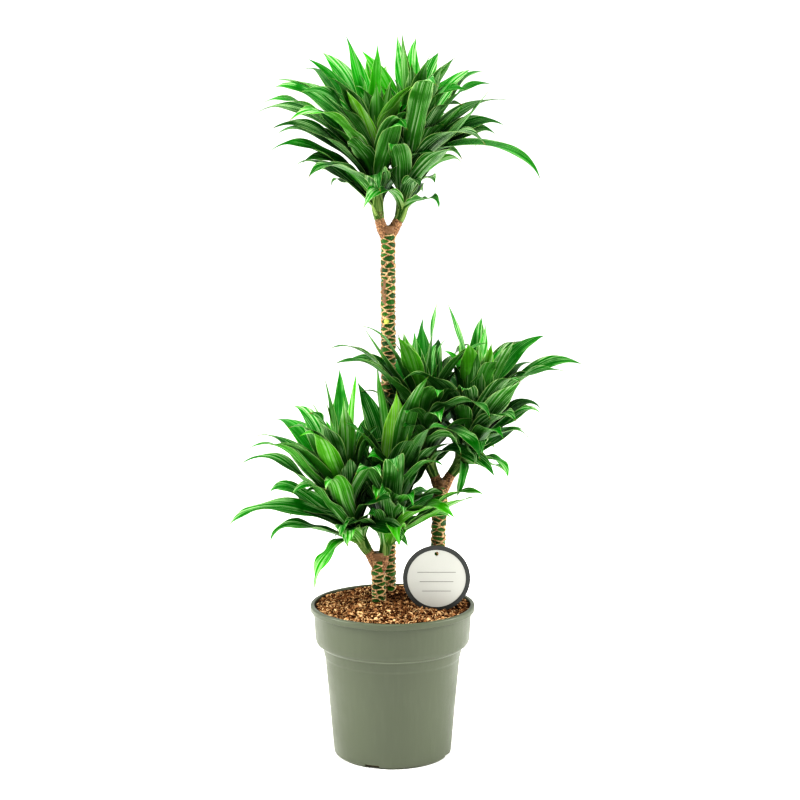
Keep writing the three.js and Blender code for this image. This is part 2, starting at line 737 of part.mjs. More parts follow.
function meshOf(name, geometry, look) {
  const mesh = new THREE.Mesh(geometry, new THREE.MeshStandardMaterial(look));
  mesh.name = name;
  return mesh;
}

function prepareShoot(shoot) {
  const curve = shootCurve(shoot);
  const length = curve.getLength();
  const leafStart = alongAtHeight(curve, shoot.leafHeight);
  const pitch = (LAST_TIER_END - leafStart) / TIERS.length;
  const tierStarts = TIERS.map((_, tier) => leafStart + tier * pitch);
  const stations = [...BARE_STATIONS.map((share) => leafStart * share), ...tierStarts, 1];
  return { ...shoot, curve, length, leafStart, pitch, tierStarts, stations };
}

// The stems that leaves keep clear of. One with a tier is the part of its shoot above the tier below.
function stemsOf(prepared) {
  const stems = CANES.map((cane) => ({ solid: buildCane(cane, STEM_MARGIN) }));
  const sleeve = CLEARANCE + SHEATH_WALL + SLEEVE_MARGIN;
  for (const shoot of prepared) {
    stems.push({ shoot, solid: shootTube(shoot, shoot.stations, SHEATH_WALL + STEM_MARGIN) });
    for (let tier = 1; tier < TIERS.length; tier += 1) {
      const above = [...shoot.tierStarts.slice(tier), 1];
      stems.push({ shoot, tier, solid: shootTube(shoot, above, sleeve) });
    }
  }
  return stems;
}

const corn_plant = new THREE.Group();
corn_plant.name = 'corn_plant';

const canes = new Map(CANES.map((cane) => [cane.name, cane]));
const pockets = CANES.map(canePocket);
corn_plant.add(meshOf('pot', toGeometry(buildPot()), COLOURS.pot));
corn_plant.add(meshOf('soil', toGeometry(buildSoil([...pockets, stakePocket()])), COLOURS.soil));
for (const cane of CANES) {
  corn_plant.add(meshOf(cane.name, toGeometry(buildCane(cane)), COLOURS.bark));
}

const shoots = SHOOTS.map(prepareShoot);
const leaves = arrangeLeaves(shoots, stemsOf(shoots));
for (const shoot of shoots) {
  const growth = new THREE.Group();
  const stem = shootTube(shoot, shoot.stations, 0).subtract(buildCane(canes.get(shoot.cane), CLEARANCE));
  growth.add(meshOf(`${shoot.name}_shoot`, toGeometry(stem), COLOURS.shoot));
  TIERS.forEach((_, tier) => {
    const own = leaves.filter((leaf) => leaf.shoot === shoot && leaf.tier === tier);
    const look = tier >= FIRST_YOUNG_TIER ? COLOURS.youngLeaf : COLOURS.leaf;
    growth.add(meshOf(`${shoot.name}_leaves_${tier + 1}`, toGeometry(buildTier(shoot, tier, own)), look));
  });
  corn_plant.add(growth);
}

const label = meshOf('plant_label', toGeometry(buildLabel()), COLOURS.label);
label.rotation.x = 90 * DEGREE;
label.position.set(LABEL.x, LABEL.y, LABEL.centreHeight);
corn_plant.add(label);

export default corn_plant;
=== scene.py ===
"""Looks of a potted corn plant, built round its packed construction. Metres, +Z up, -Y faces the viewer."""

import math
import random
from itertools import combinations

import bmesh
import bpy
import numpy as np
from mathutils import Matrix, Vector, noise


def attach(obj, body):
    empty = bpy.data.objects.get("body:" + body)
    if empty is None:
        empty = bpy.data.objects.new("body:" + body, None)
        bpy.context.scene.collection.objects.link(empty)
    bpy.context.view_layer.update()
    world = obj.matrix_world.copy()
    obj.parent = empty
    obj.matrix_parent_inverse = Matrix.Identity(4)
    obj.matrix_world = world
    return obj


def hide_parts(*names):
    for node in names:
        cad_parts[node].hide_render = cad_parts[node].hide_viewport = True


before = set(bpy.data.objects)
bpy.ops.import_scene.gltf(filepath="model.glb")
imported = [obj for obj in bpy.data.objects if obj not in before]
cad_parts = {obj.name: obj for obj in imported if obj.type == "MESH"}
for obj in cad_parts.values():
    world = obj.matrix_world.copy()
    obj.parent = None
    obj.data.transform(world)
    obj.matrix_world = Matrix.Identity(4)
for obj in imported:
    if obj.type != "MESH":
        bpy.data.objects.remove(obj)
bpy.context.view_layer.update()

BODY = "root"
MILLIMETRE = 0.001
FULL_TURN = 2 * math.pi

# ---- Camera and studio ----

CAMERA_PLACE = (0.0095, -2.378, 0.818)
CAMERA_PITCH = -8.7
CAMERA_LENS = 86.9
BACKGROUND = (1.0, 1.0, 1.0)
BACKGROUND_STRENGTH = 1.0
FLOOR_SIZE = 30.0
FLOOR_COLOUR = (0.97, 0.97, 0.97)
FLOOR_ROUGHNESS = 0.9
FLOOR_GRAIN = 20
LIGHTS = [
    {"name": "left", "place": (-2.0, -0.2, 1.3), "size": 1.0, "power": 52},
    {"name": "right", "place": (2.0, -0.1, 1.2), "size": 1.0, "power": 50},
    {"name": "above", "place": (-0.4, -0.8, 2.4), "size": 0.8, "power": 34},
]
LIGHT_TARGET = (0, 0, 0.5)
LIGHT_COLOUR = (1.0, 0.99, 0.92)

# ---- Colours ----

COLOURS = {
    "pot_dark": (0.057, 0.067, 0.042),
    "pot_light": (0.065, 0.076, 0.048),
    "pot_streak": (0.095, 0.108, 0.074),
    "pot_painted_highlight": (0.170, 0.185, 0.145),
    "scar_dark": (0.003, 0.030, 0.002),
    "scar_light": (0.018, 0.110, 0.004),
    "scar_mottle": (0.12, 0.14, 0.03),
    "ridge_foot": (0.12, 0.062, 0.024),
    "ridge_dark": (0.22, 0.10, 0.050),
    "ridge_light": (0.55, 0.41, 0.23),
    "bark_dark": (0.05, 0.022, 0.010),
    "bark_light": (0.30, 0.17, 0.09),
    "bud": (0.50, 0.52, 0.12),
    "stem_cork_dark": (0.060, 0.022, 0.010),
    "stem_cork_light": (0.40, 0.22, 0.11),
    "stem_green_dark": (0.04, 0.10, 0.012),
    "stem_green_light": (0.13, 0.20, 0.040),
    "stem_ring": (0.14, 0.075, 0.04),
    "leaf_margin": (0.42, 0.52, 0.22),
    "leaf_base_dark": (0.018, 0.062, 0.006),
    "leaf_base_light": (0.20, 0.27, 0.090),
    "leaf_dry": (0.16, 0.075, 0.022),
}
PEAT_COLOURS = [
    (0.010, 0.003, 0.001),
    (0.050, 0.018, 0.006),
    (0.170, 0.075, 0.030),
    (0.420, 0.230, 0.110),
    (0.800, 0.580, 0.340),
]
# The two sides of a leaf. Their tones go from the darkest leaf to the brightest, at the tone stops
LEAF_TONE_STOPS = (0.0, 0.5, 0.82, 1.0)
LEAF_SIDES = {
    "leaf_upper": {
        "tones": [(0.0003, 0.040, 0.0002), (0.002, 0.165, 0.0004), (0.04, 0.28, 0.0008), (0.15, 0.43, 0.002)],
        "streak_and_sheen": (0.34, 0.52, 0.26), "roughness": 0.27,
    },
    "leaf_under": {
        "tones": [(0.012, 0.085, 0.006), (0.036, 0.175, 0.014), (0.07, 0.27, 0.012), (0.15, 0.40, 0.016)],
        "streak_and_sheen": (0.34, 0.48, 0.27), "roughness": 0.36,
    },
}
# Pale streaks along the veins, partly the veins' own colour and partly painted sheen where gloss would catch
# the light
STREAK_AND_SHEEN_STRENGTH = 0.85
# The label's colours, each as the two ends of its speckle
LABEL_COLOURS = {
    "label_white": {"colour": (0.42, 0.42, 0.395), "other": (0.45, 0.45, 0.425), "roughness": 0.6},
    "label_rim": {"colour": (0.018, 0.020, 0.019), "other": (0.026, 0.028, 0.026), "roughness": 0.5},
    "label_line": {"colour": (0.17, 0.17, 0.16), "other": (0.19, 0.19, 0.18), "roughness": 0.6},
}

# ---- Pot ----

POT_SEGMENTS = 192
POT_FLOOR = 0.0025
# (radius, height, corner rounding) up the outside, from the base's edge to the inside of the rim
POT_OUTSIDE = [
    (0.0717, 0, 0.0012),
    (0.0747, 0.0030, 0.0012),
    (0.0749, 0.0058, 0.0001),
    (0.0855, 0.1262, 0.0030),
    (0.0867, 0.1288, 0.0030),
    (0.0887, 0.1404, 0.0006),
    (0.0904, 0.1408, 0.0008),
    (0.0914, 0.1422, 0.0012),
    (0.0964, 0.1454, 0.0030),
    (0.0978, 0.1505, 0.0040),
    (0.1000, 0.1860, 0.0006),
    (0.1040, 0.1866, 0.0010),
    (0.1040, 0.1940, 0.0025),
    (0.0988, 0.1940, 0.0008),
]
POT_INSIDE = [
    (0.0980, 0.1860, 0.002),
    (0.0956, 0.1500, 0.004),
    (0.0882, 0.1456, 0.002),
    (0.0866, 0.1410, 0.002),
    (0.0848, 0.1288, 0.002),
    (0.0834, 0.1262, 0.002),
    (0.0730, 0.0060, 0.0001),
    (0.0727, POT_FLOOR, 0.002),
]
ROUNDING_STEPS = 6
ROUNDING_LIMIT = 0.48
# A painted highlight: a pale line round the band's lower edge, where it would catch the light. Where it
# starts and stops in height, and its strength
PAINTED_HIGHLIGHT_LINE = {"start": (0.1408, 0.1417), "stop": (0.1434, 0.1425), "strength": 0.55}
SLOT_COUNT = 4
SLOT_FIRST_TURN = -110
SLOT_SIZE = (0.012, 0.019, 0.009)
SLOT_ROUNDING = 0.0008
SLOT_RADIUS = 0.0747
SHARP_ANGLE = math.radians(38)

# ---- Soil ----

SOIL_SEED = 11
SOIL_RADIUS = 0.0976
SOIL_EDGE_HEIGHT = 0.1915
SOIL_MOUND = 0.008
SOIL_MOUND_RADIUS = 0.084
SOIL_RINGS = 70
SOIL_SEGMENTS = 170
# (radius, height) down the soil's wall, inside the pot
SOIL_WALL = [(0.0953, 0.1505), (0.0878, 0.1460), (0.0830, 0.1250), (0.0724, 0.0028)]
# (size, height) of its lumps
SOIL_LUMPS = [(0.012, 0.0022), (0.004, 0.0013)]
SOIL_CALM_FROM = 0.93
SOIL_SHADE = 0.16
SHADE_LUMP = 0.01
SHADE_PATCH = 0.016
SHADE_SPREAD = 0.12
SHADE_POWER = 1.3
CHIPS = {
    "count": 11000, "shade": (0.1, 1.0), "from_wall": 0.003, "length": (0.0006, 0.0016), "width": (0.35, 0.8),
    "height": (0.2, 0.5), "tilt": 0.5, "corner": (0.55, 1.1), "large_share": 0.08, "large_growth": 1.1,
}
CHIP_BASE = [(-1, -1), (1, -1), (1, 1), (-1, 1)]
FIBRES = {
    "count": 700, "shade": (0.45, 1.0), "from_wall": 0.002, "length": (0.005, 0.016), "bend": (-1.4, 1.4),
    "thickness": (0.00022, 0.00045), "steps": 6, "lift": 0.0012, "waves": 0.0006, "wave_size": 0.004,
}
# The soil has a painted shadow round the middle of the canes: where that is, how far it reaches and how much
# darker
CANES_MIDDLE = (0.010, 0.020)
CANES_REACH = (0.02, 0.07)
CANES_SHADOW = 0.14

# ---- Canes ----

CANES = {
    "tall_cane": {"foot": (-0.0055, 0.048, 0.070), "head": (-0.0055, 0.048, 0.668), "seed": 3,
                  "radius": 0.0089, "foot_radius": 0.0099},
    "middle_cane": {"foot": (0.0485, 0.012, 0.080), "head": (0.0615, 0.012, 0.352), "seed": 8,
                    "radius": 0.0090, "foot_radius": 0.0094},
    "short_cane": {"foot": (-0.0155, -0.008, 0.080), "head": (-0.0180, -0.008, 0.262), "seed": 21,
                   "radius": 0.0090, "foot_radius": 0.0082},
}
CANE_SIDES = 96
CANE_STEP = 0.0008
CANE_BURIED_TOP = 0.18
CANE_INSET = 0.0004
CANE_WAVES = 0.0004
CANE_TOP_SHARE = 0.86
SCAR_ROW_HEIGHT = 0.0046
SCARS_AROUND = 3
SCAR_SHIFT = 0.3
SCAR_STRETCH = 2.3
SCAR_WAVES = 0.0012
RIDGE_WIDTH = 0.0022
RIDGE_HEIGHT = 0.0011
CORK_TOP = (0.016, 0.004)
CORK_PATCHES = (0.25, 0.6)
CORK_HEIGHT = 0.0006
BUD = {
    "cane": "tall_cane", "height": 0.548, "turn": -103, "width": 0.0042, "tallness": 0.0048, "lift": 0.0022,
}

# ---- Shoots: the route of each one's axis, and the height its leaves start at, in millimetres ----

SHOOTS = {
    "tall_left": {"leaf_height": 690, "route": [
        (-6, 48, 650), (-14, 46, 668), (-18, 45, 688), (-20, 44, 720), (-19, 43, 764)]},
    "tall_right": {"leaf_height": 686, "route": [
        (-5, 49, 652), (4, 51, 668), (11, 53, 684), (15, 55, 715), (20, 56, 768)]},
    "middle_left": {"leaf_height": 368, "route": [
        (61, 12, 334), (54, 12, 353), (47, 12, 372), (43, 14, 400), (41, 16, 440)]},
    "middle_right": {"leaf_height": 371, "route": [
        (62, 12, 334), (71, 12, 353), (83, 12, 371), (94, 14, 400), (101, 16, 440)]},
    "short_left": {"leaf_height": 274, "route": [
        (-16, -8, 238), (-27, -9, 258), (-38, -11, 276), (-48, -14, 302), (-55, -16, 342)]},
    "short_right": {"leaf_height": 268, "route": [
        (-15, -8, 240), (-10, -7, 262), (-6, -6, 282), (-3, -5, 306), (0, -5, 350)]},
}
ROUTE_STEPS = 40
SHOOT_SIDES = 40
SHOOT_STEPS = 130
SHOOT_BASE_RADIUS = 0.0066
SHOOT_TIP_RADIUS = 0.0022
SHOOT_BARE_LENGTH = 0.045
SHOOT_INSET = 0.0003
SHOOT_RING_LENGTH = 0.0034
SHOOT_RING_DEPTH = 0.0005
SHOOT_LUMPS = 0.0005
SHOOT_BULGE = 0.0012
SHOOT_CORK_END = 0.012
SHOOT_BULGE_END = 0.03

# ---- Leaves ----

TIERS = 8
YOUNG_TIERS = (5.5, 8)
# Where along a leaf the frame's mesh has its rings of four points, from the tip's side
LEAF_STATIONS = (0.88, 0.64, 0.40)
NEEDLE_ANGLE = 1.6
MERGE = 2e-6
LEAF_ROWS = 34
LEAF_COLUMNS = 11
ACROSS = np.linspace(-1, 1, LEAF_COLUMNS)
UPPER_SIDE, LOWER_SIDE = 0, 1
LEAF_THICKNESS = (0.0009, 0.00022)
LEAF_WIDENING = 0.97
VEIN_SHIFT = 40
SHEATH_ROWS = 6
SHEATH_LENGTH = 0.017
SHEATH_ALONG = -0.05
SHEATH_TAPER = 0.16
WRAP_ANGLES = (135, 62)
CLASP_END = 0.2
CLASP_WIDTH = 0.65
BLADE = {
    "row_power": 0.92, "widest": 0.47, "widening": 1.2, "sharpness": 1.4, "fullness": 1.5,
    "fold": (0.37, 0.14), "fold_power": 1.5, "groove": 0.0005, "groove_width": 0.1,
    "ripple_start": (0.2, 0.45), "ripple_stop": (0.75, 0.98), "ripple_turn": 0.25, "ripple_size": 0.002,
    "sway_start": (0.15, 0.4), "sway_stop": (0.85, 1), "sway_turn": 5, "roll_start": 0.35,
}
RECURVE_START = 0.42
# x * x * (1 - x) times this peaks at 1
RECURVE_PEAK = 27 / 4
# How leaves differ: the ranges that each one's wave, fold, recurved point and sway are drawn from
LEAF_HABITS = {
    "wave": (0.0010, 0.0040), "wave_count": (1.4, 2.8), "wave_phase": (0, FULL_TURN),
    "fold": (0.8, 1.5), "recurve": (0.001, 0.0085), "sway": (0, 0.0025),
}
LEAF_ROLL = 0.3
LEAF_TONE_RANGE = (0.24, 0.66)
LEAF_TONE_SPREAD = 0.12
PALE_LEAF_SHARE = 0.1
PALE_LEAF_TONE = 0.25
# Leaves that grow in a spiral between the tiers: a crown's fillers and the narrow new leaves in its heart.
# Each range goes from the lowest leaf to the highest
GOLDEN_TURN = math.radians(137.5)
FILLERS = {
    "count": 15, "tilt": (12, 70), "rise": (58, 82), "length": (0.080, 0.110), "half_width": (0.0125, 0.0120),
    "place": (0.12, 0.86), "tier": (2.5, 6.5), "footing": 0.0016,
}
HEARTS = {
    "count": 5, "tilt": (62, 84), "rise": (80, 88), "length": (0.095, 0.070), "half_width": (0.0115, 0.0070),
    "place": (0.88, 0.985), "tier": (7.2, 8.0), "footing": 0.0004,
}
SPIRAL = {"tilt_spread": 4, "least_arch": 8, "lengths": (0.88, 1.1), "droop": (0.75, 0.15), "twist": 0.35}
# Leaves that stand out in the photograph: place along the shoot's leafy part, tip in millimetres, rise at the
# foot in degrees, droop of the tip, half-width in millimetres, and tone from dark to bright
FRONT_LEAVES = {
    "tall_left": [
        (0.62, (-55, -30, 836), 78, 0.1, 12.5, 0.97),
        (0.80, (26, -38, 842), 78, 0.5, 12, 0.90),
        (0.85, (-1, 0, 848), 80, 0.3, 11, 0.72),
        (0.45, (18, -75, 787), 84, 1.6, 13, 0.30),
        (0.90, (-59, 98, 905), 80, 0.1, 12.5, 0.52),
    ],
    "tall_right": [
        (0.35, (122, 15, 840), 62, -0.4, 14.5, 0.34),
        (0.45, (55, -22, 835), 76, 0.1, 14, 0.16),
        (0.55, (90, 8, 822), 70, -0.2, 13, 0.30),
        (0.92, (12, 45, 900), 86, 0.1, 12, 0.45),
    ],
    "middle_left": [
        (0.70, (-37, 8, 548), 72, -0.2, 14, 0.42),
        (0.75, (6, -14, 541), 78, 0.1, 12.5, 0.25),
        (0.30, (17, -92, 450), 66, 0.7, 13, 0.30),
        (0.05, (23, -52, 355), 44, 1.0, 9.5, 0.52),
        (0.35, (59, -96, 440), 62, 1.3, 12, 0.40),
    ],
    "middle_right": [
        (0.70, (121, -50, 532), 82, 0.1, 12, 0.84),
        (0.70, (151, -18, 531), 70, 0.2, 13, 0.42),
        (0.55, (104, -46, 523), 80, 0.0, 13, 0.18),
        (0.35, (155, -82, 489), 60, 0.1, 14, 0.32),
        (0.02, (80, -28, 336), 48, 2.4, 6.5, 0.50),
        (0.04, (142, -48, 366), 22, 1.1, 11, 0.50),
    ],
    "short_left": [
        (0.26, (-54, -78, 284), 66, 5.0, 13, 0.50),
        (0.62, (-13, -100, 374), 76, 3.0, 12, 0.42),
        (0.60, (-80, -96, 358), 80, 2.5, 12, 0.62),
        (0.25, (-8, 40, 407), 70, 0.2, 13.5, 0.2),
        (0.12, (-22, -62, 318), 66, 2.0, 12, 0.26),
        (0.75, (-84, -24, 487), 80, 0.1, 12.5, 0.30),
        (0.60, (-102, -58, 466), 72, 0.4, 13, 0.46),
    ],
    "short_right": [
        (0.70, (6, -70, 474), 84, 0.5, 16.5, 1.0),
        (0.72, (-19, -28, 500), 84, 0.0, 11.5, 0.50),
        (0.10, (8, -80, 286), 60, 4.0, 13.5, 0.72),
        (0.36, (-19, -96, 346), 70, 3.0, 12.5, 0.66),
        (0.02, (-26, -58, 316), 64, 2.0, 12, 0.34),
        (0.15, (-51, 30, 374), 68, 0.3, 13.5, 0.2),
        (0.30, (76, -94, 324), 40, 0.9, 13.5, 0.78),
        (0.20, (116, -42, 341), 34, 0.3, 15, 0.66),
    ],
}
FRONT_FOOTING = 0.001
FRONT_TWIST = 0.15
# How far a curve's inner control points are from its ends, as shares of the leaf's length
CURVE_HANDLES = (0.4, 0.33)
# Leaves of the frame with a tone or a share of their length of their own: (tier, number in the tier)
LEAF_TONES = {
    "tall_left": {(8, 0): 0.72, (7, 2): 0.9, (8, 2): 0.7, (6, 1): 0.4},
    "middle_left": {(8, 2): 0.42},
    "middle_right": {(7, 0): 0.75, (8, 0): 0.42, (1, 1): 0.55},
    "short_left": {(3, 2): 0.6, (1, 2): 0.62, (1, 1): 0.6},
    "short_right": {(8, 1): 0.95, (7, 1): 0.45, (2, 3): 0.8, (1, 1): 0.75, (1, 2): 0.7},
}
SHORT_LEAVES = {
    "short_left": {(2, 3): 0.6},
    "tall_right": {(1, 2): 0.55},
}

# ---- Label ----

LABEL = {
    "centre": (0.055, -0.034, 0.2345), "radius": 0.042, "sides": 96, "rim": 0.0055, "face_inset": 0.0003,
    "thickness": 0.0012, "rim_thickness": 0.002, "hole": 0.0026, "hole_sides": 32, "hole_drop": 0.0105,
    "stake_width": 0.013, "stake_length": 0.062, "stake_point": 0.014, "stake_overlap": 0.003,
    "line_half_height": 0.0004, "line_rise": 0.0002,
}
# (height, half-length) of the blank lines to write on
LABEL_LINES = [(0.008, 0.024), (-0.004, 0.021), (-0.016, 0.018)]


# ---- Small helpers ----

def lerp(a, b, t):
    return a + (b - a) * t


def smooth(value, low, high):
    """0 below low, 1 above high, and a smooth rise between them."""
    t = np.clip((value - low) / (high - low), 0, 1)
    return t * t * (3 - 2 * t)


def window(t, start, stop):
    """A smooth rise over the range start and a smooth fall over the range stop."""
    return float(smooth(t, *start)) * (1 - float(smooth(t, *stop)))


def unit(vector):
    return vector / np.linalg.norm(vector)


def square_to(vector, axis):
    """The unit vector nearest to vector that is square to a unit axis."""
    return unit(vector - axis * np.dot(vector, axis))


def cross_axes(forward):
    """Two unit vectors square to a unit vector and to each other."""
    across = unit(np.cross((0, 1, 0), forward))
    return across, np.cross(forward, across)


def rotate(vector, axis, angle):
    """vector turned about a unit axis by angle radians."""
    cosine, sine = math.cos(angle), math.sin(angle)
    return vector * cosine + np.cross(axis, vector) * sine + axis * np.dot(axis, vector) * (1 - cosine)


def bumpiness(point, size=1):
    """Smooth noise at a point, about -1 to 1, with lumps of the given size."""
    return noise.fractal(Vector(point) / size, 1.0, 2.0, 3)


def circle(radius, count):
    """(x, y) points evenly round a circle."""
    turns = [FULL_TURN * k / count for k in range(count)]
    return [(radius * math.cos(turn), radius * math.sin(turn)) for turn in turns]


def grid_faces(rows, columns):
    """Quads between rows of points, each row running round a closed ring."""
    faces = []
    for row in range(rows - 1):
        low, high = row * columns, (row + 1) * columns
        for column in range(columns):
            after = (column + 1) % columns
            faces.append((low + column, low + after, high + after, high + column))
    return faces


def tube_faces(rows, columns):
    """Faces of a closed tube: quads between its rings of points, and both ends."""
    last = (rows - 1) * columns
    ends = [tuple(reversed(range(columns))), tuple(range(last, last + columns))]
    return grid_faces(rows, columns) + ends


def append_mesh(vertices, faces, more_vertices, more_faces):
    """Appends a mesh to the lists of another one."""
    start = len(vertices)
    vertices += more_vertices
    faces += [tuple(start + corner for corner in face) for face in more_faces]


def make_object(name, data):
    made = bpy.data.objects.new(name, data)
    bpy.context.scene.collection.objects.link(made)
    return made


def mesh_from(bm, name):
    """A new mesh with what bm holds. It frees bm."""
    mesh = bpy.data.meshes.new(name)
    bm.to_mesh(mesh)
    bm.free()
    return mesh


def place(piece, replaced):
    """Makes a piece ride on the plant's body, and hides the CAD nodes it stands for."""
    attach(piece, BODY)
    if replaced:
        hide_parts(*replaced)
    return piece


def make_piece(name, vertices, faces, materials, replaced, attributes=None, face_materials=None):
    """A smooth closed mesh as a piece, with named point attributes."""
    mesh = bpy.data.meshes.new(name)
    mesh.from_pydata([tuple(map(float, v)) for v in vertices], [], [tuple(map(int, f)) for f in faces])
    for material in materials:
        mesh.materials.append(material)
    mesh.polygons.foreach_set("use_smooth", [True] * len(mesh.polygons))
    if face_materials is not None:
        mesh.polygons.foreach_set("material_index", face_materials)
    for key, values in (attributes or {}).items():
        layer = mesh.attributes.new(key, "FLOAT", "POINT")
        layer.data.foreach_set("value", np.asarray(values, np.float32))
    turn_outward(mesh)
    return place(make_object(name, mesh), replaced)


def turn_outward(mesh):
    """Turns every face of a closed mesh outward."""
    bm = bmesh.new()
    bm.from_mesh(mesh)
    bmesh.ops.recalc_face_normals(bm, faces=bm.faces)
    bm.to_mesh(mesh)
    bm.free()


# ---- Materials ----

class Paint:
    """A material under construction, with one short call for each kind of node it uses."""

    # The sockets of a Mix node for colours: its factor, its two colours and its result
    MIX_INPUTS = (0, 6, 7)
    MIX_OUTPUT = 2

    def __init__(self, name, **sockets):
        self.material = bpy.data.materials.new(name)
        self.material.use_nodes = True
        self.tree = self.material.node_tree
        self.shader = self.tree.nodes["Principled BSDF"]
        for socket, value in sockets.items():
            self.set(socket.replace("_", " "), value)

    def feed(self, socket, value):
        """Gives a socket another node's output, a named colour, a colour or a number."""
        if isinstance(value, bpy.types.NodeSocket):
            self.tree.links.new(value, socket)
        elif socket.type == "RGBA":
            socket.default_value = (*COLOURS.get(value, value), 1)
        else:
            socket.default_value = value

    def set(self, socket, value):
        self.feed(self.shader.inputs[socket], value)

    def node(self, kind, inputs, output, **settings):
        """One output of a new node, with its inputs by name or number."""
        made = self.tree.nodes.new(kind)
        for key, value in settings.items():
            setattr(made, key, value)
        for socket, value in inputs.items():
            self.feed(made.inputs[socket], value)
        return made.outputs[output]

    def attribute(self, name):
        return self.node("ShaderNodeAttribute", {}, "Fac", attribute_name=name)

    def position(self, stretch=(1, 1, 1)):
        """Position in the object, with each axis multiplied by its stretch."""
        plain = self.node("ShaderNodeTexCoord", {}, "Object")
        return self.node("ShaderNodeMapping", {"Vector": plain, "Scale": stretch}, "Vector")

    def height(self):
        """Height of the point in the object."""
        return self.node("ShaderNodeSeparateXYZ", {"Vector": self.position()}, "Z")

    def combine(self, x, y, z):
        return self.node("ShaderNodeCombineXYZ", {"X": x, "Y": y, "Z": z}, "Vector")

    def noise(self, vector, scale, detail=3, roughness=0.5):
        inputs = {"Vector": vector, "Scale": scale, "Detail": detail, "Roughness": roughness}
        return self.node("ShaderNodeTexNoise", inputs, "Fac")

    def math(self, operation, a, b):
        return self.node("ShaderNodeMath", {0: a, 1: b}, "Value", operation=operation)

    def times(self, a, b):
        return self.math("MULTIPLY", a, b)

    def plus(self, a, b):
        return self.math("ADD", a, b)

    def between(self, value, low, high, to_low=0.0, to_high=1.0):
        """value moved smoothly from the range low to high into the range to_low to to_high."""
        inputs = dict(enumerate((value, low, high, to_low, to_high)))
        return self.node("ShaderNodeMapRange", inputs, "Result", interpolation_type="SMOOTHSTEP")

    def mix(self, factor, a, b, blend="MIX"):
        inputs = dict(zip(self.MIX_INPUTS, (factor, a, b)))
        return self.node("ShaderNodeMix", inputs, self.MIX_OUTPUT, data_type="RGBA", blend_type=blend)

    def ramp(self, factor, stops):
        colour = self.node("ShaderNodeValToRGB", {"Fac": factor}, "Color")
        elements = colour.node.color_ramp.elements
        while len(elements) < len(stops):
            elements.new(0.5)
        for element, (position, tint) in zip(elements, stops):
            element.position = position
            element.color = (*tint, 1)
        return colour

    def bump(self, height, distance, strength=1.0):
        inputs = {"Strength": strength, "Distance": distance, "Height": height}
        self.set("Normal", self.node("ShaderNodeBump", inputs, "Normal"))


def pot_paint():
    paint = Paint("pot_plastic", Specular_IOR_Level=0.4)
    clouds = paint.noise(paint.position(), scale=22, detail=4, roughness=0.55)
    streaks = paint.noise(paint.position((1, 1, 0.12)), scale=160)
    colour = paint.mix(clouds, "pot_dark", "pot_light")
    colour = paint.mix(paint.between(streaks, 0.45, 0.75, 0, 0.10), colour, "pot_streak")
    # A painted highlight: a pale line round the band's lower edge
    height = paint.height()
    painted_highlight = paint.times(
        paint.between(height, *PAINTED_HIGHLIGHT_LINE["start"]), paint.between(height, *PAINTED_HIGHLIGHT_LINE["stop"]),
    )
    paint.set("Base Color", paint.mix(paint.times(painted_highlight, PAINTED_HIGHLIGHT_LINE["strength"]), colour, "pot_painted_highlight"))
    paint.set("Roughness", paint.between(clouds, 0.3, 0.7, 0.36, 0.5))
    grain = paint.noise(paint.position(), scale=1500, detail=2)
    paint.bump(paint.plus(grain, paint.times(streaks, 1.5)), distance=0.00008)
    return paint.material


def soil_paint():
    paint = Paint("peat_and_bark", Roughness=0.9, Specular_IOR_Level=0.06)
    speckle = paint.noise(paint.position(), scale=900, detail=4, roughness=0.7)
    wander = paint.times(paint.plus(speckle, -0.5), 0.7)
    stops = [(k / (len(PEAT_COLOURS) - 1), colour) for k, colour in enumerate(PEAT_COLOURS)]
    paint.set("Base Color", paint.ramp(paint.plus(paint.attribute("shade"), wander), stops))
    paint.bump(speckle, distance=0.0006)
    return paint.material


def cane_paint():
    """Green sunken scars, pale ridges between them with a darker foot, patches of bark and the bud."""
    paint = Paint("cane_bark", Specular_IOR_Level=0.2)
    mottle = paint.noise(paint.position(), scale=420, detail=4, roughness=0.6)
    fine = paint.noise(paint.position((1, 1, 3)), scale=1300, roughness=0.6)
    scar = paint.mix(paint.attribute("tone"), "scar_dark", "scar_light")
    scar = paint.mix(paint.between(mottle, 0.52, 0.78), scar, "scar_mottle")
    crest = paint.mix(paint.between(mottle, 0.38, 0.60), "ridge_dark", "ridge_light")
    worn = paint.plus(paint.attribute("ridge"), paint.times(paint.plus(fine, -0.5), 0.9))
    edge = paint.between(worn, 0.25, 0.5)
    colour = paint.mix(edge, scar, "ridge_foot")
    colour = paint.mix(paint.between(worn, 0.5, 0.8), colour, crest)
    bark = paint.mix(fine, "bark_dark", "bark_light")
    colour = paint.mix(paint.between(paint.attribute("cork"), 0.35, 0.65), colour, bark)
    paint.set("Base Color", paint.mix(paint.attribute("bud"), colour, "bud"))
    paint.set("Roughness", paint.between(edge, 0, 1, 0.34, 0.7))
    paint.bump(fine, distance=0.0005)
    return paint.material


def shoot_paint():
    """Cork at the shoot's foot that turns into green, with darker rings where old leaves were."""
    paint = Paint("shoot_bark", Specular_IOR_Level=0.4)
    height = paint.attribute("rise")
    mottle = paint.noise(paint.position(), scale=500, detail=4, roughness=0.65)
    cork = paint.mix(paint.between(mottle, 0.35, 0.65), "stem_cork_dark", "stem_cork_light")
    green = paint.mix(mottle, "stem_green_dark", "stem_green_light")
    greening = paint.plus(height, paint.times(mottle, 0.3))
    colour = paint.mix(paint.between(greening, 0.45, 1.1), cork, green)
    colour = paint.mix(paint.between(paint.attribute("ring"), 0.55, 0.9, 0, 0.6), colour, "stem_ring")
    paint.set("Base Color", colour)
    paint.set("Roughness", paint.between(height, 0.3, 1, 0.8, 0.45))
    paint.bump(mottle, distance=0.0008)
    return paint.material


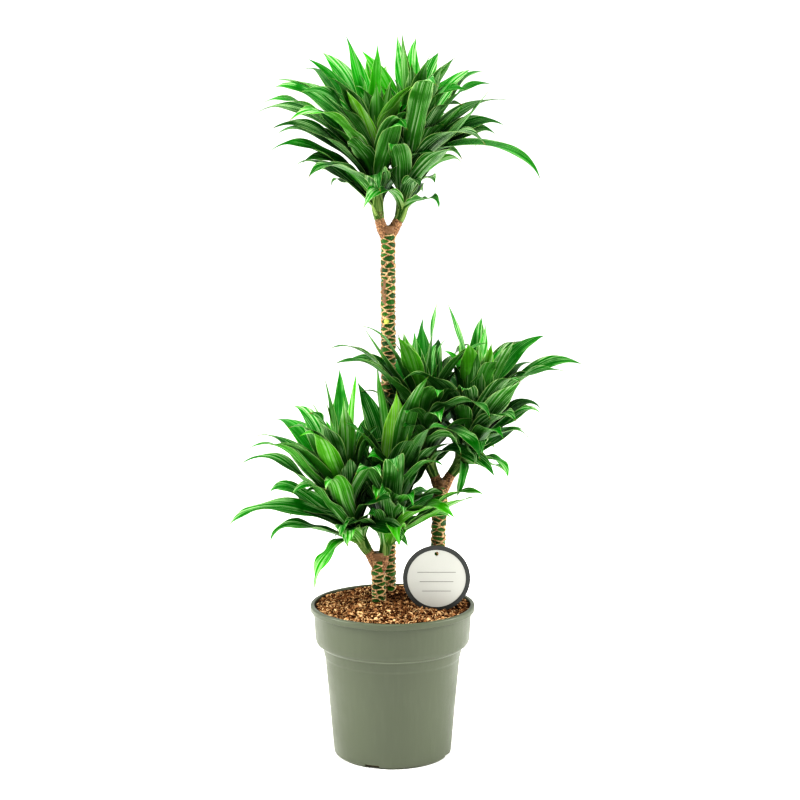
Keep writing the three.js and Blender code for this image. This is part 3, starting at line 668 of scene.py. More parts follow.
def leaf_paint(name, tones, streak_and_sheen, roughness):
    """Leaf skin: parallel veins along it with pale streaks that are partly painted sheen, a thin pale margin,
    a pale clasping base and a dry point.
    """
    paint = Paint(name, Specular_IOR_Level=0.06)
    across, along, tone = paint.attribute("across"), paint.attribute("along"), paint.attribute("tone")
    drift = paint.noise(paint.combine(across, paint.times(along, 9), tone), scale=0.35)
    veins = paint.noise(paint.combine(across, paint.times(along, 1.5), tone), scale=0.72, roughness=0.62)
    clouds = paint.noise(paint.position(), scale=28)
    # A number that differs from leaf to leaf, because their tones do
    chance = paint.noise(paint.combine(paint.times(tone, 90), 0, 0), scale=1, detail=0)
    colour = paint.ramp(tone, list(zip(LEAF_TONE_STOPS, tones)))
    shade = paint.between(paint.plus(clouds, drift), 0.7, 1.3, 0.72, 1.25)
    colour = paint.mix(1.0, colour, paint.combine(shade, shade, shade), "MULTIPLY")
    # Pale vein streaks, partly real veins and partly painted sheen where gloss would catch the light
    streak_and_sheen_mask = paint.times(paint.between(veins, 0.47, 0.62), paint.between(clouds, 0.3, 0.55))
    streak_and_sheen_mask = paint.times(streak_and_sheen_mask, paint.between(chance, 0.35, 0.6, 0.25, 1))
    colour = paint.mix(paint.times(streak_and_sheen_mask, STREAK_AND_SHEEN_STRENGTH), colour, streak_and_sheen)
    colour = paint.mix(paint.between(paint.attribute("edge"), 0.93, 1.0, 0, 0.6), colour, "leaf_margin")
    base = paint.mix(paint.between(veins, 0.36, 0.66), "leaf_base_dark", "leaf_base_light")
    colour = paint.mix(paint.between(along, 0.18, -0.02), colour, base)
    dry = paint.plus(along, paint.times(chance, 0.09))
    paint.set("Base Color", paint.mix(paint.between(dry, 1.0, 1.05, 0, 0.85), colour, "leaf_dry"))
    paint.set("Roughness", paint.between(clouds, 0.3, 0.7, roughness, roughness + 0.12))
    paint.bump(veins, distance=0.0007, strength=0.8)
    return paint.material


def plain_paint(name, colour, other, roughness, grain=900):
    """One colour that a fine speckle takes towards another."""
    paint = Paint(name, Roughness=roughness)
    speckle = paint.noise(paint.position(), grain)
    paint.set("Base Color", paint.mix(speckle, colour, other))
    paint.bump(speckle, distance=0.00006)
    return paint.material


# ---- Pot ----

def rounded(corners):
    """A polyline of (radius, height) points whose corners are rounded by their own third number."""
    points = [corners[0][:2]]
    for before, corner, after in zip(corners, corners[1:], corners[2:]):
        here = np.array(corner[:2])
        to_before = np.array(before[:2]) - here
        to_after = np.array(after[:2]) - here
        room = min(np.linalg.norm(to_before), np.linalg.norm(to_after)) * ROUNDING_LIMIT
        reach = min(corner[2], room)
        start = here + unit(to_before) * reach
        end = here + unit(to_after) * reach
        for step in range(ROUNDING_STEPS + 1):
            t = step / ROUNDING_STEPS
            points.append(tuple((1 - t) ** 2 * start + 2 * t * (1 - t) * here + t * t * end))
    points.append(corners[-1][:2])
    return points


def lathe(profile):
    """Vertices and faces of a profile of (radius, height) points turned round Z. Radius 0 closes an end."""
    vertices, faces, rings = [], [], []
    for radius, height in profile:
        spots = circle(radius, POT_SEGMENTS) if radius > 0 else [(0, 0)]
        rings.append(range(len(vertices), len(vertices) + len(spots)))
        vertices += [(x, y, height) for x, y in spots]
    for lower, upper in zip(rings, rings[1:]):
        for k in range(POT_SEGMENTS):
            corners = [
                lower[k % len(lower)], lower[(k + 1) % len(lower)],
                upper[(k + 1) % len(upper)], upper[k % len(upper)],
            ]
            faces.append(tuple(dict.fromkeys(corners)))
    return vertices, faces


def build_pot(paint):
    """The pot as one turned shell, with its drainage slots cut out."""
    vertices, faces = lathe(rounded([(0, 0, 0), *POT_OUTSIDE, *POT_INSIDE, (0, POT_FLOOR, 0)]))
    pot = make_piece("nursery_pot", vertices, faces, [paint], ["pot"])
    for k in range(SLOT_COUNT):
        cut_slot(pot, math.radians(SLOT_FIRST_TURN + 360 * k / SLOT_COUNT))


def cut_slot(pot, turn):
    """Cuts one drainage slot through the edge of the pot's base."""
    bm = bmesh.new()
    bmesh.ops.create_cube(bm, size=1)
    bmesh.ops.scale(bm, vec=SLOT_SIZE, verts=bm.verts)
    bmesh.ops.bevel(bm, geom=bm.edges[:], offset=SLOT_ROUNDING, segments=3, affect="EDGES", profile=0.5)
    cutter = make_object("slot_cutter", mesh_from(bm, "slot_cutter"))
    cutter.location = (SLOT_RADIUS * math.cos(turn), SLOT_RADIUS * math.sin(turn), 0)
    cutter.rotation_euler.z = turn
    boolean = pot.modifiers.new("slot", "BOOLEAN")
    boolean.object = cutter
    boolean.operation = "DIFFERENCE"
    boolean.solver = "EXACT"
    bpy.context.view_layer.update()
    cut = bpy.data.meshes.new_from_object(pot.evaluated_get(bpy.context.evaluated_depsgraph_get()))
    cut.set_sharp_from_angle(angle=SHARP_ANGLE)
    pot.modifiers.clear()
    pot.data = cut
    bpy.data.objects.remove(cutter)


# ---- Soil ----

def soil_surface(x, y):
    """The soil's mounded, lumpy top. Right at the pot it has no lumps."""
    distance = math.hypot(x, y)
    spread = min(1, distance / SOIL_MOUND_RADIUS)
    calm = 1 - float(smooth(distance, SOIL_RADIUS * SOIL_CALM_FROM, SOIL_RADIUS))
    lumps = sum(bumpiness((x, y, k), size) * height for k, (size, height) in enumerate(SOIL_LUMPS))
    return SOIL_EDGE_HEIGHT + SOIL_MOUND * (1 - spread * spread) + lumps * calm


def soil_ground():
    """The body of the soil: its lumpy top and a plain wall and bottom inside the pot."""
    vertices = [(0, 0, soil_surface(0, 0))]
    for ring in range(1, SOIL_RINGS + 1):
        spots = circle(SOIL_RADIUS * ring / SOIL_RINGS, SOIL_SEGMENTS)
        vertices += [(x, y, soil_surface(x, y)) for x, y in spots]
    for radius, height in SOIL_WALL:
        vertices += [(x, y, height) for x, y in circle(radius, SOIL_SEGMENTS)]
    rings = SOIL_RINGS + len(SOIL_WALL)
    last = 1 + (rings - 1) * SOIL_SEGMENTS
    faces = [(0, 1 + k, 1 + (k + 1) % SOIL_SEGMENTS) for k in range(SOIL_SEGMENTS)]
    faces += [tuple(1 + corner for corner in reversed(face)) for face in grid_faces(rings, SOIL_SEGMENTS)]
    faces.append(tuple(last + k for k in reversed(range(SOIL_SEGMENTS))))
    return vertices, faces


def random_spot(rng):
    """An even random place on the soil, clear of the pot's wall."""
    radius = (SOIL_RADIUS - CHIPS["from_wall"]) * math.sqrt(rng.random())
    turn = rng.uniform(0, FULL_TURN)
    return radius * math.cos(turn), radius * math.sin(turn)


def bark_chip(rng):
    """One chip of bark or peat as an uneven slab lying on the soil."""
    x, y = random_spot(rng)
    length = rng.uniform(*CHIPS["length"])
    if rng.random() < CHIPS["large_share"]:
        length *= 1 + CHIPS["large_growth"]
    width = length * rng.uniform(*CHIPS["width"])
    height = length * rng.uniform(*CHIPS["height"])
    spin = rng.uniform(0, math.pi)
    tilt = rng.gauss(0, CHIPS["tilt"])
    centre = np.array([x, y, soil_surface(x, y) + height * 0.5])
    forward = np.array([math.cos(spin) * math.cos(tilt), math.sin(spin) * math.cos(tilt), math.sin(tilt)])
    side = rotate(unit(np.cross((0, 0, 1), forward)), forward, rng.gauss(0, CHIPS["tilt"]))
    up = np.cross(forward, side)
    vertices = []
    for c in (-1, 1):
        for a, b in CHIP_BASE:
            ahead, beside, above = (value * rng.uniform(*CHIPS["corner"]) for value in (a, b, c))
            vertices.append(centre + forward * length * ahead + side * width * beside + up * height * above)
    return vertices, tube_faces(2, len(CHIP_BASE))


def peat_fibre(rng):
    """One thin root or fibre, bent over the soil. It turns away from the pot's wall."""
    x, y = random_spot(rng)
    turn = rng.uniform(0, FULL_TURN)
    bend = rng.uniform(*FIBRES["bend"])
    length = rng.uniform(*FIBRES["length"])
    thickness = rng.uniform(*FIBRES["thickness"])
    steps = FIBRES["steps"]
    vertices = []
    for step in range(steps + 1):
        vertices += fibre_ring(x, y, turn, thickness * (1 - 0.5 * step / steps))
        x += math.cos(turn) * length / steps
        y += math.sin(turn) * length / steps
        turn += bend / steps
        if math.hypot(x, y) > SOIL_RADIUS - FIBRES["from_wall"]:
            turn += math.pi / 2
    return vertices, tube_faces(steps + 1, 4)


def fibre_ring(x, y, turn, thickness):
    across, along = -math.sin(turn) * thickness, math.cos(turn) * thickness
    lift = soil_surface(x, y) + FIBRES["lift"] + FIBRES["waves"] * bumpiness((x, y, 4), FIBRES["wave_size"])
    return [
        (x + across, y + along, lift),
        (x, y, lift + thickness),
        (x - across, y - along, lift),
        (x, y, lift - thickness),
    ]


def near_canes(x, y):
    """How near a place on the soil is to the middle of the canes, from 0 to 1."""
    return 1 - float(smooth(math.hypot(x - CANES_MIDDLE[0], y - CANES_MIDDLE[1]), *CANES_REACH))


def build_soil(paint):
    """The soil with thousands of chips and fibres lying on it, as one flat-faced piece."""
    rng = random.Random(SOIL_SEED)
    vertices, faces = soil_ground()
    shades = [SOIL_SHADE + SHADE_SPREAD * bumpiness(vertex, SHADE_LUMP) for vertex in vertices]
    for make, kind in ((bark_chip, CHIPS), (peat_fibre, FIBRES)):
        for _ in range(kind["count"]):
            bits, bit_faces = make(rng)
            append_mesh(vertices, faces, bits, bit_faces)
            x, y = bits[0][:2]
            # Random patches of tone, less the painted shadow round the middle of the canes
            patch_and_shadow = SHADE_SPREAD * bumpiness((x, y, 7), SHADE_PATCH) - CANES_SHADOW * near_canes(x, y)
            shades += [rng.uniform(*kind["shade"]) ** SHADE_POWER + patch_and_shadow] * len(bits)
    soil = make_piece("potting_soil", vertices, faces, [paint], ["soil"], {"shade": shades})
    soil.data.polygons.foreach_set("use_smooth", [False] * len(soil.data.polygons))


# ---- Canes ----

def scar_seeds(length, circumference, rng):
    """Centres of the leaf scars round a cane, as (distance round it, height), in staggered rows."""
    width = circumference / SCARS_AROUND
    seeds = []
    for row in range(int(length / SCAR_ROW_HEIGHT) + 2):
        for column in range(SCARS_AROUND):
            shift = row * 0.5 + rng.uniform(-SCAR_SHIFT, SCAR_SHIFT)
            height = (row + rng.uniform(-SCAR_SHIFT, SCAR_SHIFT)) * SCAR_ROW_HEIGHT
            seeds.append(((column + shift) * width, height))
    return seeds


def scar_pattern(around, height, seeds, circumference):
    """For points on a cane: how far each is from the ridge between two scars, and its own scar's number."""
    nearest = np.full(around.shape, np.inf)
    second = np.full(around.shape, np.inf)
    owner = np.zeros(around.shape, int)
    for number, (seed_around, seed_height) in enumerate(seeds):
        sideways = np.abs(around - seed_around % circumference)
        sideways = np.minimum(sideways, circumference - sideways) / SCAR_STRETCH
        distance = np.hypot(sideways, height - seed_height)
        closer = distance < nearest
        second = np.where(closer, nearest, np.minimum(second, distance))
        owner = np.where(closer, number, owner)
        nearest = np.where(closer, distance, nearest)
    return second - nearest, owner


def cane_marks(name, cane, turns, heights):
    """What each point of a cane's grid has of ridge, cork, scar tone and bud, and its share of the waves."""
    rng = random.Random(cane["seed"])
    length = heights[-1]
    circumference = FULL_TURN * cane["radius"]
    turn_grid, height_grid = np.meshgrid(turns, heights)
    waves = np.array([[bumpiness((t * 0.6, h * 90, cane["seed"])) for t in turns] for h in heights])
    seeds = scar_seeds(length, circumference, rng)
    gap, owner = scar_pattern(
        turn_grid * cane["radius"], height_grid + waves * SCAR_WAVES, seeds, circumference,
    )
    patches = np.array([
        [bumpiness((math.cos(t), math.sin(t), h * 28 + cane["seed"])) for t in turns] for h in heights
    ])
    top = smooth(height_grid, length - CORK_TOP[0], length - CORK_TOP[1])
    marks = {
        "ridge": 1 - smooth(gap / (RIDGE_WIDTH * (1 + 0.5 * waves)), 0.2, 1),
        "cork": top + 0.8 * smooth(patches, *CORK_PATCHES),
        "tone": np.array([rng.random() for _ in seeds])[owner],
        "bud": bud_shape(name, cane, turn_grid, height_grid + cane["foot"][2]),
    }
    return marks, waves


def bud_shape(name, cane, turns, heights):
    """The low oval swelling of the one dormant bud, from 0 to 1."""
    if name != BUD["cane"]:
        return np.zeros(turns.shape)
    sideways = (turns - math.radians(BUD["turn"]) + math.pi) % FULL_TURN - math.pi
    distance = np.hypot(sideways * cane["radius"] / BUD["width"], (heights - BUD["height"]) / BUD["tallness"])
    return 1 - smooth(distance, 0.35, 1)


def build_cane(name, cane, paint):
    """A cut cane: sunken glossy leaf scars between raised corky ridges, with a rough cut top."""
    foot, head = np.array(cane["foot"]), np.array(cane["head"])
    length = np.linalg.norm(head - foot)
    axis = (head - foot) / length
    buried = (CANE_BURIED_TOP - foot[2]) / axis[2]
    heights = np.concatenate([[0], np.arange(buried, length, CANE_STEP), [length]])
    turns = np.linspace(0, FULL_TURN, CANE_SIDES, endpoint=False)
    marks, waves = cane_marks(name, cane, turns, heights)
    cork = marks["cork"]
    ridges = RIDGE_HEIGHT * marks["ridge"] * (1 - 0.5 * cork.clip(0, 1))
    swell = CANE_WAVES * waves + ridges + CORK_HEIGHT * (cork > 0.9)
    plain = lerp(cane["foot_radius"], cane["radius"], heights[:, None] / length)
    radii = plain - CANE_INSET + swell + BUD["lift"] * marks["bud"]
    radii[np.isclose(heights, length)] *= CANE_TOP_SHARE
    across, away = cross_axes(axis)
    outward = np.cos(turns)[:, None] * across + np.sin(turns)[:, None] * away
    centres = foot + heights[:, None] * axis
    vertices = (centres[:, None] + radii[..., None] * outward).reshape(-1, 3)
    values = {key: mark.ravel() for key, mark in marks.items()}
    faces = tube_faces(len(heights), CANE_SIDES)
    make_piece(f"{name}_bark", vertices, faces, [paint], [name], values)


# ---- Shoots ----

def route_points(route):
    """Points at even steps along a smooth curve through a shoot's route, and how far along each is."""
    knots = [np.array(point) * MILLIMETRE for point in route]
    knots = [2 * knots[0] - knots[1], *knots, 2 * knots[-1] - knots[-2]]
    dense = []
    for a, b, c, d in zip(knots, knots[1:], knots[2:], knots[3:]):
        for step in range(ROUTE_STEPS):
            t = step / ROUTE_STEPS
            dense.append(0.5 * (
                2 * b + (c - a) * t + (2 * a - 5 * b + 4 * c - d) * t ** 2 + (3 * b - a - 3 * c + d) * t ** 3
            ))
    dense = np.array([*dense, knots[-2]])
    travelled = np.concatenate([[0], np.cumsum(np.linalg.norm(np.diff(dense, axis=0), axis=1))])
    wanted = np.linspace(0, travelled[-1], SHOOT_STEPS)
    points = np.array([np.interp(wanted, travelled, dense[:, k]) for k in range(3)]).T
    return points, wanted


def build_shoot(name, points, travelled, paint):
    """A shoot's stem, corky and ringed at its base and green above."""
    vertices, rises, rings = [], [], []
    for point, tangent, distance in zip(points, np.gradient(points, axis=0), travelled):
        across, away = cross_axes(unit(tangent))
        share = smooth(distance, SHOOT_BARE_LENGTH, travelled[-1])
        ring = 0.5 + 0.5 * math.cos(FULL_TURN * distance / SHOOT_RING_LENGTH)
        bulge = SHOOT_BULGE * (1 - smooth(distance, SHOOT_CORK_END, SHOOT_BULGE_END))
        plain = lerp(SHOOT_BASE_RADIUS, SHOOT_TIP_RADIUS, share) - SHOOT_INSET + bulge
        for x, y in circle(1, SHOOT_SIDES):
            direction = x * across + y * away
            lump = bumpiness((direction[0] * 2, direction[1] * 2, distance * 400)) * SHOOT_LUMPS
            vertices.append(point + direction * (plain + lump - SHOOT_RING_DEPTH * ring))
        rises += [float(smooth(distance, SHOOT_CORK_END, SHOOT_BARE_LENGTH))] * SHOOT_SIDES
        rings += [ring] * SHOOT_SIDES
    values = {"rise": rises, "ring": rings}
    faces = tube_faces(SHOOT_STEPS, SHOOT_SIDES)
    make_piece(f"{name}_stem", vertices, faces, [paint], [f"{name}_shoot"], values)


# ---- Leaves: their shapes are read from the frame ----

def merged_mesh(node):
    """Points and triangles of a CAD node, with the points that share a place merged into one."""
    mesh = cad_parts[node].data
    mesh.calc_loop_triangles()
    points = np.empty(len(mesh.vertices) * 3)
    mesh.vertices.foreach_get("co", points)
    points = points.reshape(-1, 3)
    corners = np.empty(len(mesh.loop_triangles) * 3, int)
    mesh.loop_triangles.foreach_get("vertices", corners)
    _, first, index = np.unique(np.round(points / MERGE), axis=0, return_index=True, return_inverse=True)
    triangles = index.reshape(-1)[corners].reshape(-1, 3)
    whole = [len(set(triangle)) == 3 for triangle in triangles.tolist()]
    return points[first], triangles[whole]


def needle_tips(points, triangles):
    """Points where the surface closes to a needle, and which points each one's triangles join it to."""
    turned = np.zeros(len(points))
    neighbours = [set() for _ in points]
    for triangle in triangles:
        for k in range(3):
            here, after, before = triangle[k], triangle[(k + 1) % 3], triangle[(k + 2) % 3]
            one, two = unit(points[after] - points[here]), unit(points[before] - points[here])
            turned[here] += math.acos(float(np.clip(np.dot(one, two), -1, 1)))
            neighbours[here].update((after, before))
    return [k for k in range(len(points)) if turned[k] < NEEDLE_ANGLE], neighbours


def leaf_rings(tip, neighbours):
    """The rings of four points that follow a leaf's tip, or None if it isn't a leaf's."""
    seen, ring, rings = {tip}, {tip}, []
    for _ in LEAF_STATIONS:
        ring = set().union(*(neighbours[k] for k in ring)) - seen
        if len(ring) != 4:
            return None
        seen |= ring
        rings.append(sorted(ring))
    return rings


def ring_shape(points):
    """Centre, upward direction and half-width of a leaf's ring: its two far corners are its edges."""
    spans = {(a, b): np.linalg.norm(points[a] - points[b]) for a, b in combinations(range(4), 2)}
    edges = max(spans, key=spans.get)
    middle = [k for k in range(4) if k not in edges]
    centre = points[middle].mean(axis=0)
    upper = points[list(edges)].mean(axis=0) - centre
    return centre, upper, spans[edges] / 2


def bezier(controls, t):
    weights = [(1 - t) ** 3, 3 * (1 - t) ** 2 * t, 3 * (1 - t) * t ** 2, t ** 3]
    return sum(weight * control for weight, control in zip(weights, controls))


def bezier_slope(controls, t):
    steps = [b - a for a, b in zip(controls, controls[1:])]
    weights = [(1 - t) ** 2, 2 * (1 - t) * t, t ** 2]
    return 3 * sum(weight * step for weight, step in zip(weights, steps))


def fitted_curve(centres, tip):
    """The cubic Bezier curve that passes through the ring centres and ends at the tip."""
    rows = [[(1 - t) ** 3, 3 * (1 - t) ** 2 * t, 3 * (1 - t) * t ** 2] for t in LEAF_STATIONS]
    rest = [centre - t ** 3 * tip for centre, t in zip(centres, LEAF_STATIONS)]
    return [*np.linalg.solve(np.array(rows), np.array(rest)), tip]


def level_side(controls, t, flat_side):
    """The sideways and forward directions at t of a leaf that isn't twisted."""
    forward = unit(bezier_slope(controls, t))
    return square_to(flat_side, forward), forward


def read_leaf(points, tip, rings):
    """A leaf's curve, sideways direction, twist and half-width, from the frame's mesh."""
    shapes = [ring_shape(points[ring]) for ring in rings]
    controls = fitted_curve([shape[0] for shape in shapes], points[tip])
    flat_side = unit(np.cross(controls[1] - controls[0], controls[3] - controls[0]))
    twists = []
    for (_, upper, _), t in zip(shapes[1:], LEAF_STATIONS[1:]):
        side, forward = level_side(controls, t, flat_side)
        real = unit(np.cross(forward, upper))
        if np.dot(real, side) < 0:
            flat_side, side = -flat_side, -side
        twists.append(math.atan2(np.dot(np.cross(side, real), forward), np.dot(side, real)) / t)
    half_width = shapes[2][2] * LEAF_WIDENING
    return {"controls": controls, "side": flat_side, "twist": twists[0], "half_width": half_width}


def read_leaves(node):
    """The leaves of a tier's CAD node. A leaf without a needle tip isn't found."""
    points, triangles = merged_mesh(node)
    tips, neighbours = needle_tips(points, triangles)
    found = [(tip, leaf_rings(tip, neighbours)) for tip in tips]
    return [read_leaf(points, tip, rings) for tip, rings in found if rings]


# ---- Leaves: more leaves, and what sets one apart from the next ----

def finish_leaf(leaf, rng, tier):
    """Adds a leaf's own tone, ripples, sway and recurved point. The highest tiers are young."""
    young = float(smooth(tier, *YOUNG_TIERS))
    paler = PALE_LEAF_TONE if rng.random() < PALE_LEAF_SHARE else 0
    tone = rng.gauss(lerp(*LEAF_TONE_RANGE, young) + paler, LEAF_TONE_SPREAD)
    leaf["tone"] = float(np.clip(tone, 0.02, 0.98))
    for habit, limits in LEAF_HABITS.items():
        leaf[habit] = rng.uniform(*limits)
    leaf["wave"] *= 1 - 0.6 * young
    leaf["recurve"] *= 1 - 0.8 * young
    leaf["roll"] = rng.gauss(0, LEAF_ROLL)
    return leaf


def stem_radius(route, index):
    """The stem's radius at a point of its route, thinning from where its leaves start."""
    travelled = np.linalg.norm(np.diff(route, axis=0), axis=1)
    share = smooth(travelled[:index].sum(), SHOOT_BARE_LENGTH, travelled.sum())
    return lerp(SHOOT_BASE_RADIUS, SHOOT_TIP_RADIUS, float(share))


def leafy_index(shoot, route, share):
    """The route's point at a share of the shoot's leafy part."""
    start = int(np.searchsorted(route[:, 2], SHOOTS[shoot]["leaf_height"] * MILLIMETRE))
    return int(lerp(start, len(route) - 2, share))


def leaf_foot(route, index, heading, footing):
    """Where a leaf with a heading starts on its stem, with its outward direction and the stem's own."""
    axis = unit(route[index + 1] - route[index - 1])
    outward = square_to(heading, axis)
    return route[index] + outward * (stem_radius(route, index) + footing), outward, axis


def stem_leaf(foot, outward, axis, tip, rise, droop):
    """A leaf from its foot to its tip: it starts at an angle of rise from outward, and droops at its tip."""
    length = np.linalg.norm(tip - foot)
    start_slope = outward * math.cos(rise) + axis * math.sin(rise)
    end_slope = unit((tip - foot) / length - np.array([0, 0, droop]))
    start_handle, end_handle = (share * length for share in CURVE_HANDLES)
    controls = [foot, foot + start_slope * start_handle, tip - end_slope * end_handle, tip]
    return {"controls": controls, "side": np.cross(outward, axis)}


def spiral_leaves(kind, shoot, route, rng):
    """More leaves of a shoot in a golden spiral, from the lowest to the highest."""
    phase = rng.uniform(0, FULL_TURN)
    leaves = []
    for k in range(kind["count"]):
        share = k / (kind["count"] - 1)
        index = leafy_index(shoot, route, lerp(*kind["place"], share))
        turn = phase + k * GOLDEN_TURN
        tilt = math.radians(lerp(*kind["tilt"], share) + rng.gauss(0, SPIRAL["tilt_spread"]))
        rise = max(math.radians(lerp(*kind["rise"], share)), tilt + math.radians(SPIRAL["least_arch"]))
        length = lerp(*kind["length"], share) * rng.uniform(*SPIRAL["lengths"])
        heading = np.array([math.cos(turn), math.sin(turn), 0])
        foot, outward, axis = leaf_foot(route, index, heading, kind["footing"])
        tip = foot + (outward * math.cos(tilt) + axis * math.sin(tilt)) * length
        leaf = stem_leaf(foot, outward, axis, tip, rise, lerp(*SPIRAL["droop"], share))
        leaf["twist"] = rng.gauss(0, SPIRAL["twist"])
        leaf["half_width"] = lerp(*kind["half_width"], share)
        leaves.append(finish_leaf(leaf, rng, lerp(*kind["tier"], share)))
    return leaves


def front_leaves(shoot, route, rng):
    """The leaves of a shoot that stand out in the photograph."""
    leaves = []
    for share, tip, rise, droop, half_width, tone in FRONT_LEAVES[shoot]:
        end = np.array(tip) * MILLIMETRE
        index = leafy_index(shoot, route, share)
        foot, outward, axis = leaf_foot(route, index, end - route[index], FRONT_FOOTING)
        leaf = stem_leaf(foot, outward, axis, end, math.radians(rise), droop)
        leaf["twist"] = rng.gauss(0, FRONT_TWIST)
        leaf["half_width"] = half_width * MILLIMETRE
        leaves.append({**finish_leaf(leaf, rng, TIERS), "tone": tone})
    return leaves


# ---- Leaves: their fine shapes ----

def blade_outline(t, base):
    """Half-width along a leaf as a share of its widest, from base at its foot to 0 at its tip."""
    widest = BLADE["widest"]
    if t < widest:
        return base + (1 - base) * math.sin(t / widest * math.pi / 2) ** BLADE["widening"]
    past = (t - widest) / (1 - widest)
    return (1 - past) ** BLADE["sharpness"] * (1 + BLADE["fullness"] * past)


def stem_under(route, foot):
    """Where on the shoot's axis a leaf's foot sits: the index along it and the radius out to the foot."""
    distances = np.linalg.norm(route - foot, axis=1)
    index = int(distances.argmin())
    return index, float(distances[index])


def clasp(radius, degrees):
    """Sideways and upward offsets of a row of points wrapped round a stem, to degrees on both sides."""
    turns = ACROSS * math.radians(degrees)
    return radius * np.sin(turns), radius * (1 - np.cos(turns))


def sheath_rows(leaf, route, spacing):
    """Rings of the clasping base below a leaf's foot, wrapped round the stem."""
    index, radius = stem_under(route, leaf["controls"][0])
    out = leaf["controls"][0] - route[index]
    rows = []
    for row in range(SHEATH_ROWS):
        share = 1 - row / SHEATH_ROWS
        spot = max(1, index - int(round(share * SHEATH_LENGTH / spacing)))
        forward = unit(route[min(spot + 1, len(route) - 1)] - route[spot - 1])
        outward = square_to(out, forward)
        reach = radius * (1 - SHEATH_TAPER * share)
        offsets = clasp(reach, lerp(WRAP_ANGLES[1], WRAP_ANGLES[0], share ** 0.8))
        centre = route[spot] + outward * reach
        rows.append(thick_row(centre, np.cross(outward, forward), -outward, offsets, 0.0))
    return rows


def section(t, leaf):
    """Sideways and upward offsets across a blade: a channel whose base wraps the stem."""
    width = leaf["half_width"] * blade_outline(t, leaf["base"])
    fold = width * lerp(*BLADE["fold"], t) * leaf["fold"]
    wave = leaf["wave"] * math.sin(leaf["wave_count"] * t * FULL_TURN + leaf["wave_phase"])
    ripple = wave * window(t, BLADE["ripple_start"], BLADE["ripple_stop"])
    groove = BLADE["groove"] * np.exp(-(ACROSS / BLADE["groove_width"]) ** 2) * (1 - t)
    blade_x = width * ACROSS * np.cos(BLADE["ripple_turn"] * ACROSS * ripple / BLADE["ripple_size"])
    blade_z = fold * np.abs(ACROSS) ** BLADE["fold_power"] + ripple * ACROSS * np.abs(ACROSS) - groove
    clasp_x, clasp_z = clasp(leaf["clasp"], WRAP_ANGLES[1])
    free = float(smooth(t, 0, CLASP_END))
    return lerp(clasp_x, blade_x, free), lerp(clasp_z, blade_z, free)


def thick_row(centre, side, upper, offsets, t):
    """The ring of points round one cross-section: over the upper side and back under it."""
    sideways, lift = offsets
    middle = centre + sideways[:, None] * side + lift[:, None] * upper
    half = lerp(*LEAF_THICKNESS, np.abs(ACROSS) ** 0.7) * (1 - 0.5 * t) / 2
    over = middle + half[:, None] * upper
    under = middle - half[:, None] * upper
    return np.concatenate([over, under[::-1]])


def leaf_spine(leaf):
    """The midrib's points, sides and directions: its curve, recurved in its far half and swaying a little."""
    ts = (np.arange(LEAF_ROWS + 1) / LEAF_ROWS) ** BLADE["row_power"]
    spine, sides = [], []
    for t in ts:
        side, forward = level_side(leaf["controls"], t, leaf["side"])
        side = rotate(side, forward, leaf["twist"] * t)
        far = max(0, (t - RECURVE_START) / (1 - RECURVE_START))
        lift = leaf["recurve"] * RECURVE_PEAK * far ** 2 * (1 - far)
        middle = window(t, BLADE["sway_start"], BLADE["sway_stop"])
        sway = leaf["sway"] * math.sin(leaf["wave_phase"] + BLADE["sway_turn"] * t) * middle
        spine.append(bezier(leaf["controls"], t) + np.cross(side, forward) * lift + side * sway)
        sides.append(side)
    slopes = np.gradient(np.array(spine), axis=0)
    return spine, sides, [unit(slope) for slope in slopes], ts


def leaf_rows(leaf, route, spacing):
    """The rings of points along a leaf, how far along it each one is, and the point that ends it."""
    rows = sheath_rows(leaf, route, spacing)
    alongs = [SHEATH_ALONG] * len(rows)
    spine, sides, forwards, ts = leaf_spine(leaf)
    for centre, side, forward, t in zip(spine[:-1], sides, forwards, ts):
        roll = leaf["roll"] * float(smooth(t, BLADE["roll_start"], 1))
        side = rotate(square_to(side, forward), forward, roll)
        rows.append(thick_row(centre, side, np.cross(side, forward), section(t, leaf), t))
        alongs.append(t)
    return rows, alongs, spine[-1]


def leaf_mesh(leaf, route, spacing):
    """One closed leaf: its points and faces, the paint of each face and the values of each point."""
    rows, alongs, end = leaf_rows(leaf, route, spacing)
    columns = 2 * LEAF_COLUMNS
    last, tip = (len(rows) - 1) * columns, len(rows) * columns
    across = np.concatenate([ACROSS, ACROSS[::-1]])
    shift = VEIN_SHIFT * leaf["tone"]
    values = {"along": [], "across": [], "edge": [], "tone": [leaf["tone"]] * (tip + 1)}
    for along in alongs:
        width = leaf["half_width"] * blade_outline(max(along, 0), leaf["base"])
        values["along"] += [along] * columns
        values["across"] += list(across * width / MILLIMETRE + shift)
        values["edge"] += list(np.abs(across))
    for key, value in (("along", 1), ("across", shift), ("edge", 0)):
        values[key].append(value)
    faces = grid_faces(len(rows), columns)
    faces += [(last + column, last + (column + 1) % columns, tip) for column in range(columns)]
    faces.append(tuple(reversed(range(columns))))
    sides = [UPPER_SIDE if column < LEAF_COLUMNS - 1 else LOWER_SIDE for column in range(columns)]
    return [*np.concatenate(rows), end], faces, sides * len(rows) + [LOWER_SIDE], values


def build_leaves(name, leaves, route, spacing, paints, replaced):
    """Leaves of one shoot as one piece."""
    vertices, faces, face_paints = [], [], []
    values = {"along": [], "across": [], "edge": [], "tone": []}
    for leaf in leaves:
        leaf["clasp"] = stem_under(route, leaf["controls"][0])[1]
        leaf["base"] = leaf["clasp"] * CLASP_WIDTH / leaf["half_width"]
        more_vertices, more_faces, more_paints, more_values = leaf_mesh(leaf, route, spacing)
        append_mesh(vertices, faces, more_vertices, more_faces)
        face_paints += more_paints
        for key, numbers in more_values.items():
            values[key] += numbers
    make_piece(name, vertices, faces, paints, replaced, values, face_paints)


